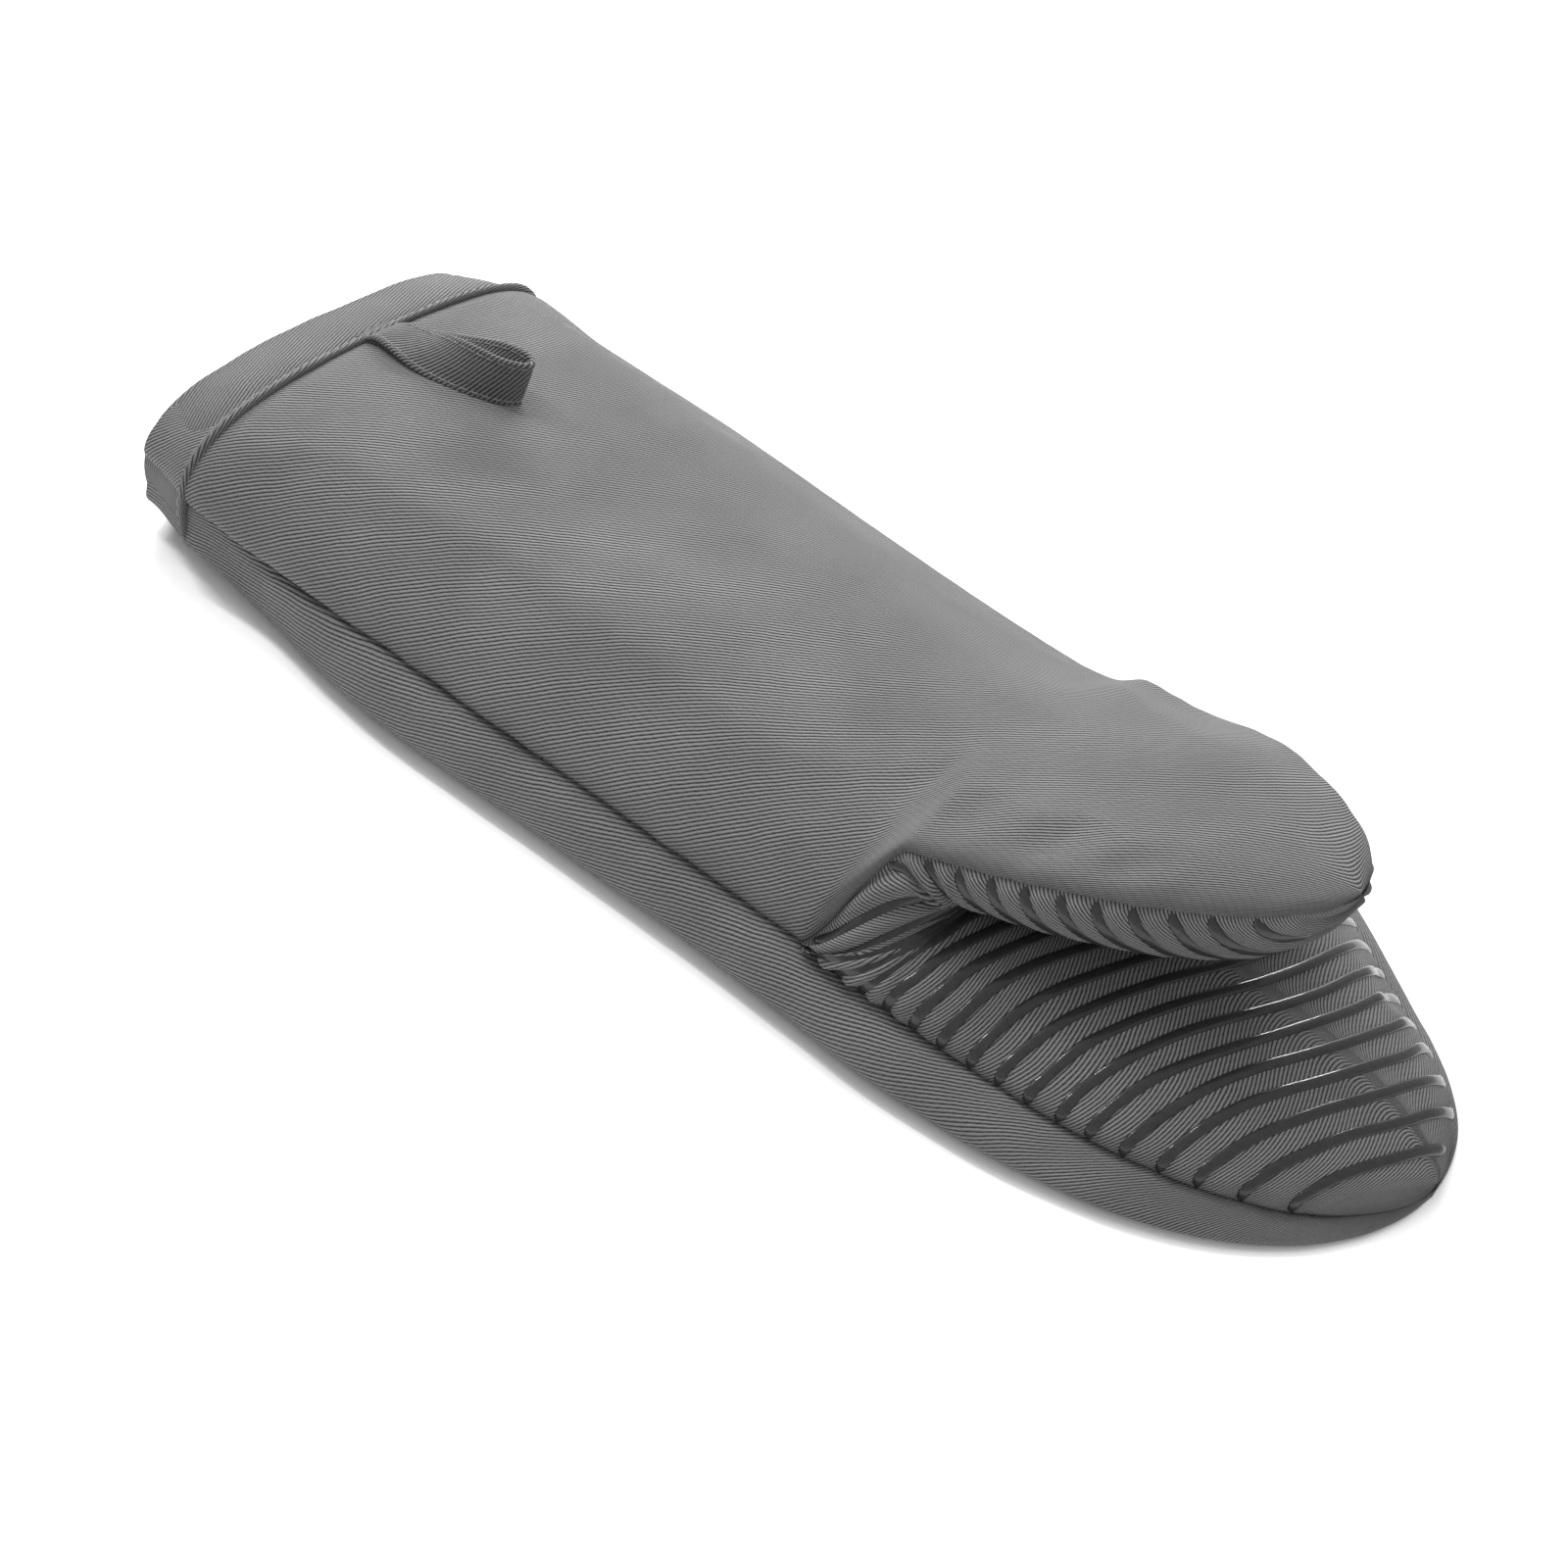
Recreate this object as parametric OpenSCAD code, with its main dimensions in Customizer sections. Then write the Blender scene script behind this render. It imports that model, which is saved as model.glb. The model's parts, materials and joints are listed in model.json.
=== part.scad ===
// Long puppet-style oven mitt, lying on the back of the hand with its thumb on the fingers.
// The mitt is sewn from three twill panels. The back panel runs under the hand, the thumb-side
// panel covers the cuff and the thumb, and the striped palm insert lines the mouth between them.
// Each panel is three layers deep: twill skin, wadding and lining.
// Every surface is a row of ribs across the mitt. A rib is worked out for a station s, the
// distance from the rim, and an inset d, the depth below the outside.

/* [Body] */
// Length from the rim to the finger tip
mitt_length = 357; // [300:1:430]
// Half the width of the cuff, measured to its side seams
cuff_half = 68; // [60:1:80]
// Half the width across the back panel's side rolls, halfway along the mitt
roll_half = 75; // [68:1:82]
// Half the width across the side rolls at the knuckles, where the mitt is widest
knuckle_half = 78.5; // [72:0.5:86]
// Distance from the rim to the corner of the mouth
crotch = 217; // [190:1:240]
// Distance from the rim to the tip of the thumb
thumb_length = 314; // [300:1:330]
// Height of the cuff's crown behind the binding
cuff_height = 47.5; // [40:0.5:54]
// Extra height of the crown over the thumb
thumb_rise = 20; // [14:1:28]

/* [Layers] */
// Thickness of the twill skin
skin = 0.8; // [0.6:0.1:1.2]
// Thickness of the wadding
wadding = 4; // [3:0.5:5]
// Thickness of the lining
lining = 0.8; // [0.6:0.1:1.2]

/* [Trim] */
// Width of the cuff binding
binding_w = 21; // [15:1:24]
// Thickness of the binding's folded tape
binding_t = 1.2; // [0.8:0.1:1.6]
// Width of the hanging loop's tape
tape_w = 13; // [10:1:16]
// Thickness of the hanging loop's doubled tape
tape_t = 1.6; // [1.2:0.1:2]
// Spacing of the silicone grip stripes along the mitt
stripe_pitch = 7.4; // [6:0.2:10]
// Width of one grip stripe
stripe_w = 2.8; // [1.6:0.1:3]
// Height of a grip stripe above the twill
stripe_h = 0.6; // [0.4:0.1:1]
// Spacing of the stitches along the binding
stitch_pitch = 4; // [3:0.5:6]

/* [Hidden] */

// Insets at which the layers meet, from the outside in
OUTSIDE = 0;
UNDER_SKIN = skin;
UNDER_WADDING = skin + wadding;
INSIDE = skin + wadding + lining;

thumb_hinge = crotch + 25;  // station where the thumb folds up
finger_hinge = crotch + 45; // station where the finger lobe bends back
hinge_gap = 0.3;            // clearance across each of those folds
fold_back = crotch + 21;    // station of the mouth's innermost fold, at the middle
mouth_z = 31.5;             // height of that fold
mouth_gap = 1.4;            // half the gap between thumb and fingers at the fold
web_len = 12.5;             // length over which the thumb seam climbs from the side seam
web_z = 43.6;               // height of the thumb seam once it has climbed
thumb_half = 56;            // half width of the thumb seam at its root
thumb_tilt = 19;            // further climb of the thumb seam to its tip
belly_out = 0.07;           // how far the belly under the thumb bulges out, as a part of its half width
rim_z = 41.5;               // height of the crown at the rim
rim_len = 25;               // length over which the rim closes in
rim_in = 5.5;               // how far each side closes in at the rim
rim_half = 65;              // half width across the side rolls at the rim
roll_depth = 12;            // how far in from its edge the back panel starts to roll up
roll_mid = 0.45;            // height of the roll's widest line, as a part of the seam's
full_height = 12;           // seam height below which the finger tip's layers are pressed thin
seam_slack = 0.1;           // gap left between two panels along their seam
seam_rim_z = 21.5;          // height of the side seam at the rim
seam_crotch_z = 17.5;       // height of the side seam at the corner of the mouth
seam_tip_z = 3.5;           // height of the seam at the finger tip
rise_from = 180;            // station where the crown starts to climb to the thumb
tip_trim = 0.02;            // where the last rib stops short of a tip
rib_steps = 14;             // spans across a crowned rib
stitch_r = 0.3;             // radius of the sewing thread

ASH = [0.36, 0.36, 0.36];
GREY = [0.42, 0.42, 0.42];
CHARCOAL = [0.2, 0.2, 0.2];
CREAM = [0.86, 0.85, 0.8];
LIGHT_GREY = [0.6, 0.6, 0.6];

function mix(a, b, t) = a + (b - a) * t;
function ease(t) = let (c = min(1, max(0, t))) c * c * (3 - 2 * c);
function puff(v, n, m) = pow(max(0, 1 - pow(min(1, abs(v)), n)), 1 / m);
function spread(n) = [for (j = [0 : n]) -cos(180 * j / n)];
function reversed(list) = [for (i = [len(list) - 1 : -1 : 0]) list[i]];
function place(p) = [p[0] - mitt_length / 2, p[1], p[2]];

// Side seam and back panel roll
function lift(s) = binding_t * (1 - ease((s - rim_len) / 20));
function seam_height(s) = s < crotch
    ? mix(seam_rim_z, seam_crotch_z, s / crotch)
    : mix(seam_crotch_z, seam_tip_z, (s - crotch) / (mitt_length - crotch));
function floor_z(s, d) = d * min(1, seam_height(s) / full_height) + lift(s);
function low_seam_z(s, d) = floor_z(s, d) + seam_height(s) * (1 - 0.6 * d / INSIDE);
function finger_tip(d) = mitt_length - 2.6 * d;
function finger_u(s, d) = max(0, (s - crotch) / (finger_tip(d) - crotch));
function close_in(s) = rim_in * (1 - ease(s / rim_len));
function finger_half(s, d) = (cuff_half - close_in(s) - 0.9 * d) * puff(finger_u(s, d), 2.5, 2);
function roll_out(s, d) =
    (rim_half - close_in(s) + (roll_half - rim_half) * ease((s - 15) / 95)
        + (knuckle_half - roll_half) * ease((s - 180) / 75) - d) * puff(finger_u(s, d), 3, 2);

// Thumb seam, which leaves the side seam at the corner of the mouth
function thumb_tip(d) = thumb_length - 2.2 * d;
function thumb_u(s, d) = max(0, (s - crotch) / (thumb_tip(d) - crotch));
function climb(s) = ease((s - crotch) / web_len);
function top_half(s, d) =
    (mix(cuff_half, thumb_half, climb(s)) - close_in(s) - 0.9 * d) * puff(thumb_u(s, d), 1.4, 2);
function top_seam_z(s, d) = s < crotch
    ? low_seam_z(s, d)
    : mix(low_seam_z(crotch, d), web_z, climb(s)) + thumb_tilt * thumb_u(s, 0);

// Crown heights down the middle of the mitt
function top_crown(s) = s < rim_len
    ? mix(rim_z, cuff_height, s / rim_len)
    : cuff_height + thumb_rise * ease((s - rise_from) / (thumb_length - rise_from));
function thumb_under(s) = mouth_z + mouth_gap + 0.12 * (s - fold_back);
function finger_over(s) = mouth_z - mouth_gap - 5 * ease((s - fold_back) / 70);

// A crowned rib between two seams, at heights seam_z and crown_z
function rib(s, half, seam_z, crown_z, n, m) =
    [for (v = spread(rib_steps)) [s, v * half, seam_z + (crown_z - seam_z) * puff(v, n, m)]];

function top_rib(s, d) = let (seam_z = top_seam_z(s, d))
    rib(s, top_half(s, d), seam_z,
        seam_z + (top_crown(s) - d - seam_z) * puff(thumb_u(s, d), 5, 2.2), 2.6, 2.8);

// Under the thumb the insert fills out to a belly that hangs steeply from its seam
function fullness(s) = ease((s - thumb_hinge) / 20);
function belly(s, v, half, d) =
    let (
        seam_z = top_seam_z(s, d) - seam_slack,
        crown_z = seam_z + (thumb_under(s) + d - seam_z) * puff(thumb_u(s, d), 5, 2.2),
        p = puff(v, mix(2.4, 5, fullness(s)), 2)
    )
    [s, half * (v + sign(v) * belly_out * fullness(s) * 4 * p * (1 - p)), mix(seam_z, crown_z, p)];
function thumb_insert_rib(s, d) = [for (v = spread(rib_steps)) belly(s, v, top_half(s, d), d)];

function finger_insert_rib(s, d) = let (seam_z = low_seam_z(s, d))
    rib(s, finger_half(s, d), seam_z,
        seam_z + (finger_over(s) - d - seam_z) * puff(finger_u(s, d), 2.5, 2), 2.4, 2);

// The back panel's rib: a roll at each side and a flat underside
function back_rib(s, d) =
    let (
        seam = finger_half(s, d),
        out = roll_out(s, d),
        flat = max(0.3 * out, out - roll_depth),
        low = floor_z(s, d),
        top = low_seam_z(s, d) - seam_slack,
        mid = mix(low, top, roll_mid),
        roll = [for (a = [90, 68, 46, 23, 0, -23, -46, -68])
            let (c = cos(a), up = a > 0)
            [mix(up ? seam : flat, out, c), mid + (up ? top - mid : mid - low) * sin(a)]],
        n = len(roll)
    )
    concat([for (p = roll) [s, -p[0], p[1]]],
        [for (k = [-5 : 2 : 5]) [s, flat * k / 5, low]],
        [for (k = [n - 1 : -1 : 0]) [s, roll[k][0], roll[k][1]]]);

// The palm web's ribs: from the thumb, round the mouth's fold and out along the fingers.
// q runs from -1 at the thumb hinge, through 0 at the fold, to 1 at the finger hinge.
WEB_Q = [for (k = [-6 : 8]) k < 0 ? k / 6 : k / 8];
WEB_TURN = 0.5;
function web_seam(q, d) = q < 0
    ? let (s = mix(crotch, thumb_hinge, -q)) [s, top_half(s, d), top_seam_z(s, d) - seam_slack]
    : let (s = mix(crotch, finger_hinge, q)) [s, finger_half(s, d), low_seam_z(s, d)];
function web_middle(q, d) =
    let (turn_s = fold_back + mouth_gap, past = (abs(q) - WEB_TURN) / (1 - WEB_TURN))
    abs(q) <= WEB_TURN
        ? [turn_s - (mouth_gap + d) * cos(90 * q / WEB_TURN),
            mouth_z - (mouth_gap + d) * sin(90 * q / WEB_TURN)]
        : let (s = mix(turn_s, q < 0 ? thumb_hinge : finger_hinge, past))
            [s, q < 0 ? thumb_under(s) + d : finger_over(s) - d];
function web_rib(q, d) =
    let (seam = web_seam(q, d), middle = web_middle(q, d))
    [for (v = spread(rib_steps))
        let (p = puff(v, 2.4, 2))
        [mix(seam[0], middle[0], p), v * seam[1], mix(seam[2], middle[1], p)]];

// Stations along each panel
function steps(a, b, n) = [for (k = [0 : n]) mix(a, b, k / n)];
function to_tip(a, b, n) = [for (k = [0 : n]) mix(a, b - tip_trim, sin(90 * k / n))];
TOP_STATIONS = concat([binding_t, 13, binding_w - 1, rim_len], steps(50, crotch, 6), steps(crotch, thumb_hinge, 6));
BACK_STATIONS = concat([binding_t, 13, binding_w - 1, rim_len], steps(50, crotch, 6), steps(crotch, finger_hinge, 6));
function unique(list) = [for (i = [0 : len(list) - 1]) if (i == 0 || list[i] > list[i - 1]) list[i]];
thumb_start = thumb_hinge + hinge_gap;
finger_start = finger_hinge + hinge_gap;

// Solid between two grids of ribs, which have the same number of ribs and of points
module sheet(outer, inner) {
    rows = len(outer);
    cols = len(outer[0]);
    far = rows * cols;
    points = [for (grid = [outer, inner]) for (row = grid) for (p = row) place(p)];
    function at(i, j) = i * cols + j;
    faces = concat(
        [for (i = [0 : rows - 2]) for (j = [0 : cols - 2])
            for (f = [[at(i, j), at(i, j + 1), at(i + 1, j)], [at(i + 1, j), at(i, j + 1), at(i + 1, j + 1)]]) f],
        [for (i = [0 : rows - 2]) for (j = [0 : cols - 2])
            for (f = [[at(i, j), at(i + 1, j), at(i, j + 1)], [at(i + 1, j), at(i + 1, j + 1), at(i, j + 1)]])
                [for (k = f) k + far]],
        [for (i = [0 : rows - 2]) for (f = rim(at(i, 0), at(i + 1, 0), far)) f],
        [for (i = [0 : rows - 2]) for (f = rim(at(i + 1, cols - 1), at(i, cols - 1), far)) f],
        [for (j = [0 : cols - 2]) for (f = rim(at(0, j + 1), at(0, j), far)) f],
        [for (j = [0 : cols - 2]) for (f = rim(at(rows - 1, j), at(rows - 1, j + 1), far)) f]
    );
    polyhedron(points, faces);
}

// The two triangles that close a sheet between neighbours a and b on its edge
function rim(a, b, far) = [[a, b, a + far], [b, b + far, a + far]];

// The same solid with its ribs taken from the far end, for a panel whose outside faces down
module under_sheet(outer, inner) sheet(reversed(outer), reversed(inner));

module top_layer(from, to, colour) {
    stations = unique(TOP_STATIONS);
    color(colour)
        sheet([for (s = stations) top_rib(s, from)], [for (s = stations) top_rib(s, to)]);
}

module back_layer(from, to, colour) {
    stations = unique(BACK_STATIONS);
    color(colour)
        under_sheet([for (s = stations) back_rib(s, from)], [for (s = stations) back_rib(s, to)]);
}

module web_layer(from, to, colour)
    color(colour)
        under_sheet([for (q = WEB_Q) web_rib(q, from)], [for (q = WEB_Q) web_rib(q, to)]);

module thumb_top_layer(from, to, colour)
    color(colour)
        sheet([for (s = to_tip(thumb_start, thumb_tip(from), 10)) top_rib(s, from)],
            [for (s = to_tip(thumb_start, thumb_tip(to), 10)) top_rib(s, to)]);

module thumb_insert_layer(from, to, colour)
    color(colour)
        under_sheet([for (s = to_tip(thumb_start, thumb_tip(from), 10)) thumb_insert_rib(s, from)],
            [for (s = to_tip(thumb_start, thumb_tip(to), 10)) thumb_insert_rib(s, to)]);

module finger_back_layer(from, to, colour)
    color(colour)
        under_sheet([for (s = to_tip(finger_start, finger_tip(from), 12)) back_rib(s, from)],
            [for (s = to_tip(finger_start, finger_tip(to), 12)) back_rib(s, to)]);

module finger_insert_layer(from, to, colour)
    color(colour)
        sheet([for (s = to_tip(finger_start, finger_tip(from), 12)) finger_insert_rib(s, from)],
            [for (s = to_tip(finger_start, finger_tip(to), 12)) finger_insert_rib(s, to)]);

// The closed ring of the cuff at one station and inset, once round
function ring(s, d) =
    let (top = top_rib(s, d), low = back_rib(s, d), n = len(low))
    concat(top, [for (k = [n - 2 : -1 : 1]) low[k]]);

// The binding is a folded tape: down the outside, round the rim and up the inside
module cuff_binding() {
    profile = [
        [binding_w, OUTSIDE], [binding_w, -binding_t], [13, -binding_t], [0.5, -binding_t],
        [0, -0.4], [0, INSIDE + 0.4], [0.5, INSIDE + binding_t], [13, INSIDE + binding_t],
        [binding_w - 1, INSIDE + binding_t], [binding_w - 1, INSIDE], [13, INSIDE],
        [binding_t - hinge_gap, INSIDE], [binding_t - hinge_gap, OUTSIDE], [13, OUTSIDE], [binding_w - 1, OUTSIDE]
    ];
    rings = [for (p = profile) ring(p[0], p[1])];
    rows = len(rings);
    cols = len(rings[0]);
    points = [for (row = rings) for (p = row) place(p)];
    function at(i, j) = (i % rows) * cols + j % cols;
    color(GREY)
        polyhedron(points,
            [for (i = [0 : rows - 1]) for (j = [0 : cols - 1])
                for (f = [[at(i, j), at(i + 1, j), at(i, j + 1)], [at(i + 1, j), at(i + 1, j + 1), at(i, j + 1)]]) f]);
}

// Straight stitches of sewing thread pulled into the binding's inner edge, once round the outside
module binding_stitching() {
    path = ring(binding_w - 2, stitch_r - binding_t);
    n = len(path);
    color(ASH)
        for (i = [0 : n - 1]) {
            a = place(path[i]);
            b = place(path[(i + 1) % n]);
            span = norm(b - a);
            count = floor(span / stitch_pitch);
            if (count > 0)
                for (k = [0 : count - 1])
                    stitch(mix(a, b, (k + 0.2) / count), mix(a, b, (k + 0.8) / count));
        }
}

module stitch(a, b) {
    run = b - a;
    translate(a)
        rotate([0, acos(run[2] / norm(run)), atan2(run[1], run[0])])
            cylinder(h = norm(run), r = stitch_r, $fn = 16);
}

// A raised bead across the palm. Its points lie at a slant, further forward on the far side,
// and most of all where the cloth levels out from the near seam.
function slant(y) = 0.17 * (y + 66) + 12 * ease((y + 60) / 58);
STRIPE_REACH = 0.93;
THUMB_STRIPE_REACH = 0.8;
stripe_bite = 0.3; // how far the silicone soaks into the twill
function finger_surface(s, y, d) =
    let (half = finger_half(s, 0), seam_z = low_seam_z(s, 0),
        crown = seam_z + (finger_over(s) - seam_z) * puff(finger_u(s, 0), 2.5, 2))
    [s, y, seam_z + (crown - seam_z) * puff(y / half, 2.4, 2) - d];
function thumb_surface(s, y, d) =
    let (half = top_half(s, 0)) belly(s, y / half, half, 0) + [0, 0, d];

module bead(middle_line, below, above) {
    rows = len(middle_line);
    half = stripe_w / 2;
    points = [for (m = middle_line) for (c = [[-half, below], [half, below], [half, above], [-half, above]])
        place([m[0] + c[0], m[1], m[2] + c[1]])];
    polyhedron(points, concat(
        [[3, 2, 1, 0]],
        [for (i = [0 : rows - 2]) for (k = [0 : 3])
            [i * 4 + k, i * 4 + (k + 1) % 4, (i + 1) * 4 + (k + 1) % 4, (i + 1) * 4 + k]],
        [[rows * 4 - 4, rows * 4 - 3, rows * 4 - 2, rows * 4 - 1]]));
}

module finger_beads(from, to) {
    count = ceil((mitt_length - crotch) / stripe_pitch) + 12;
    for (k = [0 : count - 1]) {
        start = crotch - 30 + k * stripe_pitch;
        line = [for (y = [-66 : 4 : 66])
            let (s = start + slant(y))
            if (s > max(from, fold_back + 4) && s < min(to, mitt_length - 6)
                && abs(y) < STRIPE_REACH * finger_half(s, 0)) finger_surface(s, y, 0)];
        if (len(line) > 2) bead(line, -stripe_bite, stripe_h);
    }
}

module thumb_beads(from, to) {
    count = ceil((thumb_length - crotch) / stripe_pitch) + 8;
    for (k = [0 : count - 1]) {
        start = crotch - 20 + k * stripe_pitch;
        line = [for (y = [-52 : 4 : 52])
            let (s = start + slant(y))
            if (s > from && s < min(to, thumb_length - 6)
                && abs(y) < THUMB_STRIPE_REACH * top_half(s, 0)) thumb_surface(s, y, 0)];
        if (len(line) > 2) bead(line, -stripe_h, stripe_bite);
    }
}

// Route of the hanging loop's tape: station, offset from the middle, height of the tape's
// centre over the panel and lean of the tape from lying flat to standing on its edge
LOOP_ROUTE = [
    [binding_w + 0.6, 0, 3.3, 0], [27, -0.4, 3.5, 4], [33, -1.2, 4.2, 14], [40, -2.4, 5.4, 34],
    [47, -3.2, 6.6, 54], [53.5, -2.8, 7.4, 70], [59.5, -0.6, 7.8, 82], [63.5, 3, 7.8, 88],
    [65, 6.4, 7.8, 92], [62.5, 9.6, 7.8, 95], [56.5, 10.2, 7.4, 104], [50, 8.4, 6.4, 120],
    [42, 5.4, 4.3, 146], [34, 2.4, 2.3, 168], [27, 0.8, 1.4, 177], [binding_w + 0.6, 0, 1.3, 180]
];

module hanging_loop() {
    n = len(LOOP_ROUTE);
    centre = [for (p = LOOP_ROUTE) place([p[0], p[1], top_crown(p[0]) + p[2]])];
    run = [for (i = [0 : n - 1])
        let (v = centre[min(i + 1, n - 1)] - centre[max(i - 1, 0)]) [v[0], v[1], 0] / norm([v[0], v[1], 0])];
    points = [for (i = [0 : n - 1])
        let (lean = LOOP_ROUTE[i][3], side = [run[i][1], -run[i][0], 0],
            along = side * cos(lean) - [0, 0, sin(lean)],
            across = side * sin(lean) + [0, 0, cos(lean)])
        for (c = [[-1, -1], [1, -1], [1, 1], [-1, 1]])
            centre[i] + along * c[0] * tape_w / 2 * (i == 0 || i == n - 1 ? 0.62 : 1) + across * c[1] * tape_t / 2];
    color(GREY)
        polyhedron(points, concat(
            [[3, 2, 1, 0]],
            [for (i = [0 : n - 2]) for (k = [0 : 3])
                for (f = [[i * 4 + k, i * 4 + (k + 1) % 4, (i + 1) * 4 + k],
                    [(i + 1) * 4 + k, i * 4 + (k + 1) % 4, (i + 1) * 4 + (k + 1) % 4]]) f],
            [[n * 4 - 4, n * 4 - 3, n * 4 - 2, n * 4 - 1]]));
}

module thumb_side_panel() top_layer(OUTSIDE, UNDER_SKIN, GREY);
module thumb_side_wadding() top_layer(UNDER_SKIN, UNDER_WADDING, CREAM);
module thumb_side_lining() top_layer(UNDER_WADDING, INSIDE, LIGHT_GREY);
module back_panel() back_layer(OUTSIDE, UNDER_SKIN, GREY);
module back_wadding() back_layer(UNDER_SKIN, UNDER_WADDING, CREAM);
module back_lining() back_layer(UNDER_WADDING, INSIDE, LIGHT_GREY);
module palm_web() web_layer(OUTSIDE, UNDER_SKIN, GREY);
module palm_web_wadding() web_layer(UNDER_SKIN, UNDER_WADDING, CREAM);
module palm_web_lining() web_layer(UNDER_WADDING, INSIDE, LIGHT_GREY);
module palm_web_grips() color(CHARCOAL) finger_beads(0, finger_hinge - 2);
module thumb_panel() thumb_top_layer(OUTSIDE, UNDER_SKIN, GREY);
module thumb_panel_wadding() thumb_top_layer(UNDER_SKIN, UNDER_WADDING, CREAM);
module thumb_panel_lining() thumb_top_layer(UNDER_WADDING, INSIDE, LIGHT_GREY);
module thumb_insert() thumb_insert_layer(OUTSIDE, UNDER_SKIN, GREY);
module thumb_insert_wadding() thumb_insert_layer(UNDER_SKIN, UNDER_WADDING, CREAM);
module thumb_insert_lining() thumb_insert_layer(UNDER_WADDING, INSIDE, LIGHT_GREY);
module thumb_grips() color(CHARCOAL) thumb_beads(thumb_start + 2, thumb_length);
module finger_back_panel() finger_back_layer(OUTSIDE, UNDER_SKIN, GREY);
module finger_back_wadding() finger_back_layer(UNDER_SKIN, UNDER_WADDING, CREAM);
module finger_back_lining() finger_back_layer(UNDER_WADDING, INSIDE, LIGHT_GREY);
module finger_insert() finger_insert_layer(OUTSIDE, UNDER_SKIN, GREY);
module finger_insert_wadding() finger_insert_layer(UNDER_SKIN, UNDER_WADDING, CREAM);
module finger_insert_lining() finger_insert_layer(UNDER_WADDING, INSIDE, LIGHT_GREY);
module finger_grips() color(CHARCOAL) finger_beads(finger_start + 2, mitt_length);

cuff_binding();
binding_stitching();
thumb_side_panel();
thumb_side_wadding();
thumb_side_lining();
back_panel();
back_wadding();
back_lining();
palm_web();
palm_web_wadding();
palm_web_lining();
palm_web_grips();
thumb_panel();
thumb_panel_wadding();
thumb_panel_lining();
thumb_insert();
thumb_insert_wadding();
thumb_insert_lining();
thumb_grips();
finger_back_panel();
finger_back_wadding();
finger_back_lining();
finger_insert();
finger_insert_wadding();
finger_insert_lining();
finger_grips();
hanging_loop();
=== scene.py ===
"""Sews the cloth, stripes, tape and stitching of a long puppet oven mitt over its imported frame.

The mitt lies on its back panel with the thumb lobe over the finger lobe. Every cloth is a grid
of rows across the mitt. A row is worked out for a station, the distance from the rim, and a
depth below the outside, in the same way as the solid parts that it covers.
"""
import json
import math

import bpy
import numpy as np
from mathutils import Matrix, Vector, noise


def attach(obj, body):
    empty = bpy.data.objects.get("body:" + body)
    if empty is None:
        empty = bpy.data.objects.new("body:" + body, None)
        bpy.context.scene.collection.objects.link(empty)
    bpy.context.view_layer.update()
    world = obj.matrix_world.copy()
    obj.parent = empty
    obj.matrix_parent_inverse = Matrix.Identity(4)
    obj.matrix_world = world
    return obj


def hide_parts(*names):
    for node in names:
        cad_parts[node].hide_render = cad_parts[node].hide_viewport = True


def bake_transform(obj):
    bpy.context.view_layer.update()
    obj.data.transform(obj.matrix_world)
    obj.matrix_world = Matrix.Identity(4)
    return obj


bl_info = {
    "name": "Oven Mitt",
    "version": (1, 0, 0),
    "blender": (4, 5, 0),
    "location": "3D View > Sidebar > Oven Mitt",
    "description": "Sews a padded puppet oven mitt with a striped palm over its frame",
    "category": "Add Mesh",
}

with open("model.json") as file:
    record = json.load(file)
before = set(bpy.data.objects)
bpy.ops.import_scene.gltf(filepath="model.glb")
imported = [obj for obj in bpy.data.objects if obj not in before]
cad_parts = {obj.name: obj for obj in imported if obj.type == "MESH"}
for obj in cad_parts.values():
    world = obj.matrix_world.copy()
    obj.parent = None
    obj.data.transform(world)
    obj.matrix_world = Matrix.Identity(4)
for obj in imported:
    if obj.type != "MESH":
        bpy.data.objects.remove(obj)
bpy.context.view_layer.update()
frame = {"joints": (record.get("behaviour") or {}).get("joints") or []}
JOINTS = {joint["name"]: joint for joint in frame["joints"]}

MM = 0.001
DEGREE = math.pi / 180

# Pattern lines that the mitt's sizes don't change, in metres
RIM_DEPTH = 0.025        # station where the cuff has stopped closing in towards its rim
RIM_IN = 0.0055          # how far each side closes in at the rim
RIM_CROWN = 0.0400       # height of the crown at the rim
RIM_SEAM = 0.0215        # height of the side seam at the rim
CORNER_SEAM = 0.0175     # height of the side seam at the corner of the mouth
TIP_SEAM = 0.0035        # height of the seam at the finger tip
ROLL_DEPTH = 0.012       # how far in from its edge the back panel starts to roll up
RIM_ROLL = 0.016         # how much further in it starts at the rim, which is rounder
ROLL_MID = 0.45          # height of the roll's widest line, as a part of the seam's
FULL_HEIGHT = 0.012      # seam height below which the layers are pressed thin
WEB_RISE = 0.0125        # length over which the thumb seam climbs from the side seam
WEB_HEIGHT = 0.0436      # height of the thumb seam once it has climbed
THUMB_HALF = 0.056       # half width of the thumb seam at its root
THUMB_TILT = 0.019       # further climb of the thumb seam to its tip
CROWN_RISE = 0.180       # station where the crown starts to climb to the thumb
FAR_SAG = 0.0062         # how far the far shoulder sags at the thumb's root
FAR_SLIM = 0.18          # how much narrower the far side of the finger tip is
FOLD = 0.242             # station of the mouth's innermost fold, at the middle
FOLD_HEIGHT = 0.0315     # height of that fold
FOLD_GAP = 0.0014        # half the gap between thumb and fingers at the fold
STRIPE_SPAN = (-0.985, 0.915)  # columns between which a stripe runs, near seam -1, far seam 1
SHORTEST_STRIPE = 0.014  # stripes cut shorter than this by a lobe's edge are left out
SETTLE_SCALE = 10        # the cloth solver works this much larger, where it is steadier
SETTLE_STEP = 3          # grid points per point of the coarser cloth that is simulated
SETTLE_FRAMES = 20       # frames that the simulated cloth is given to settle


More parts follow.
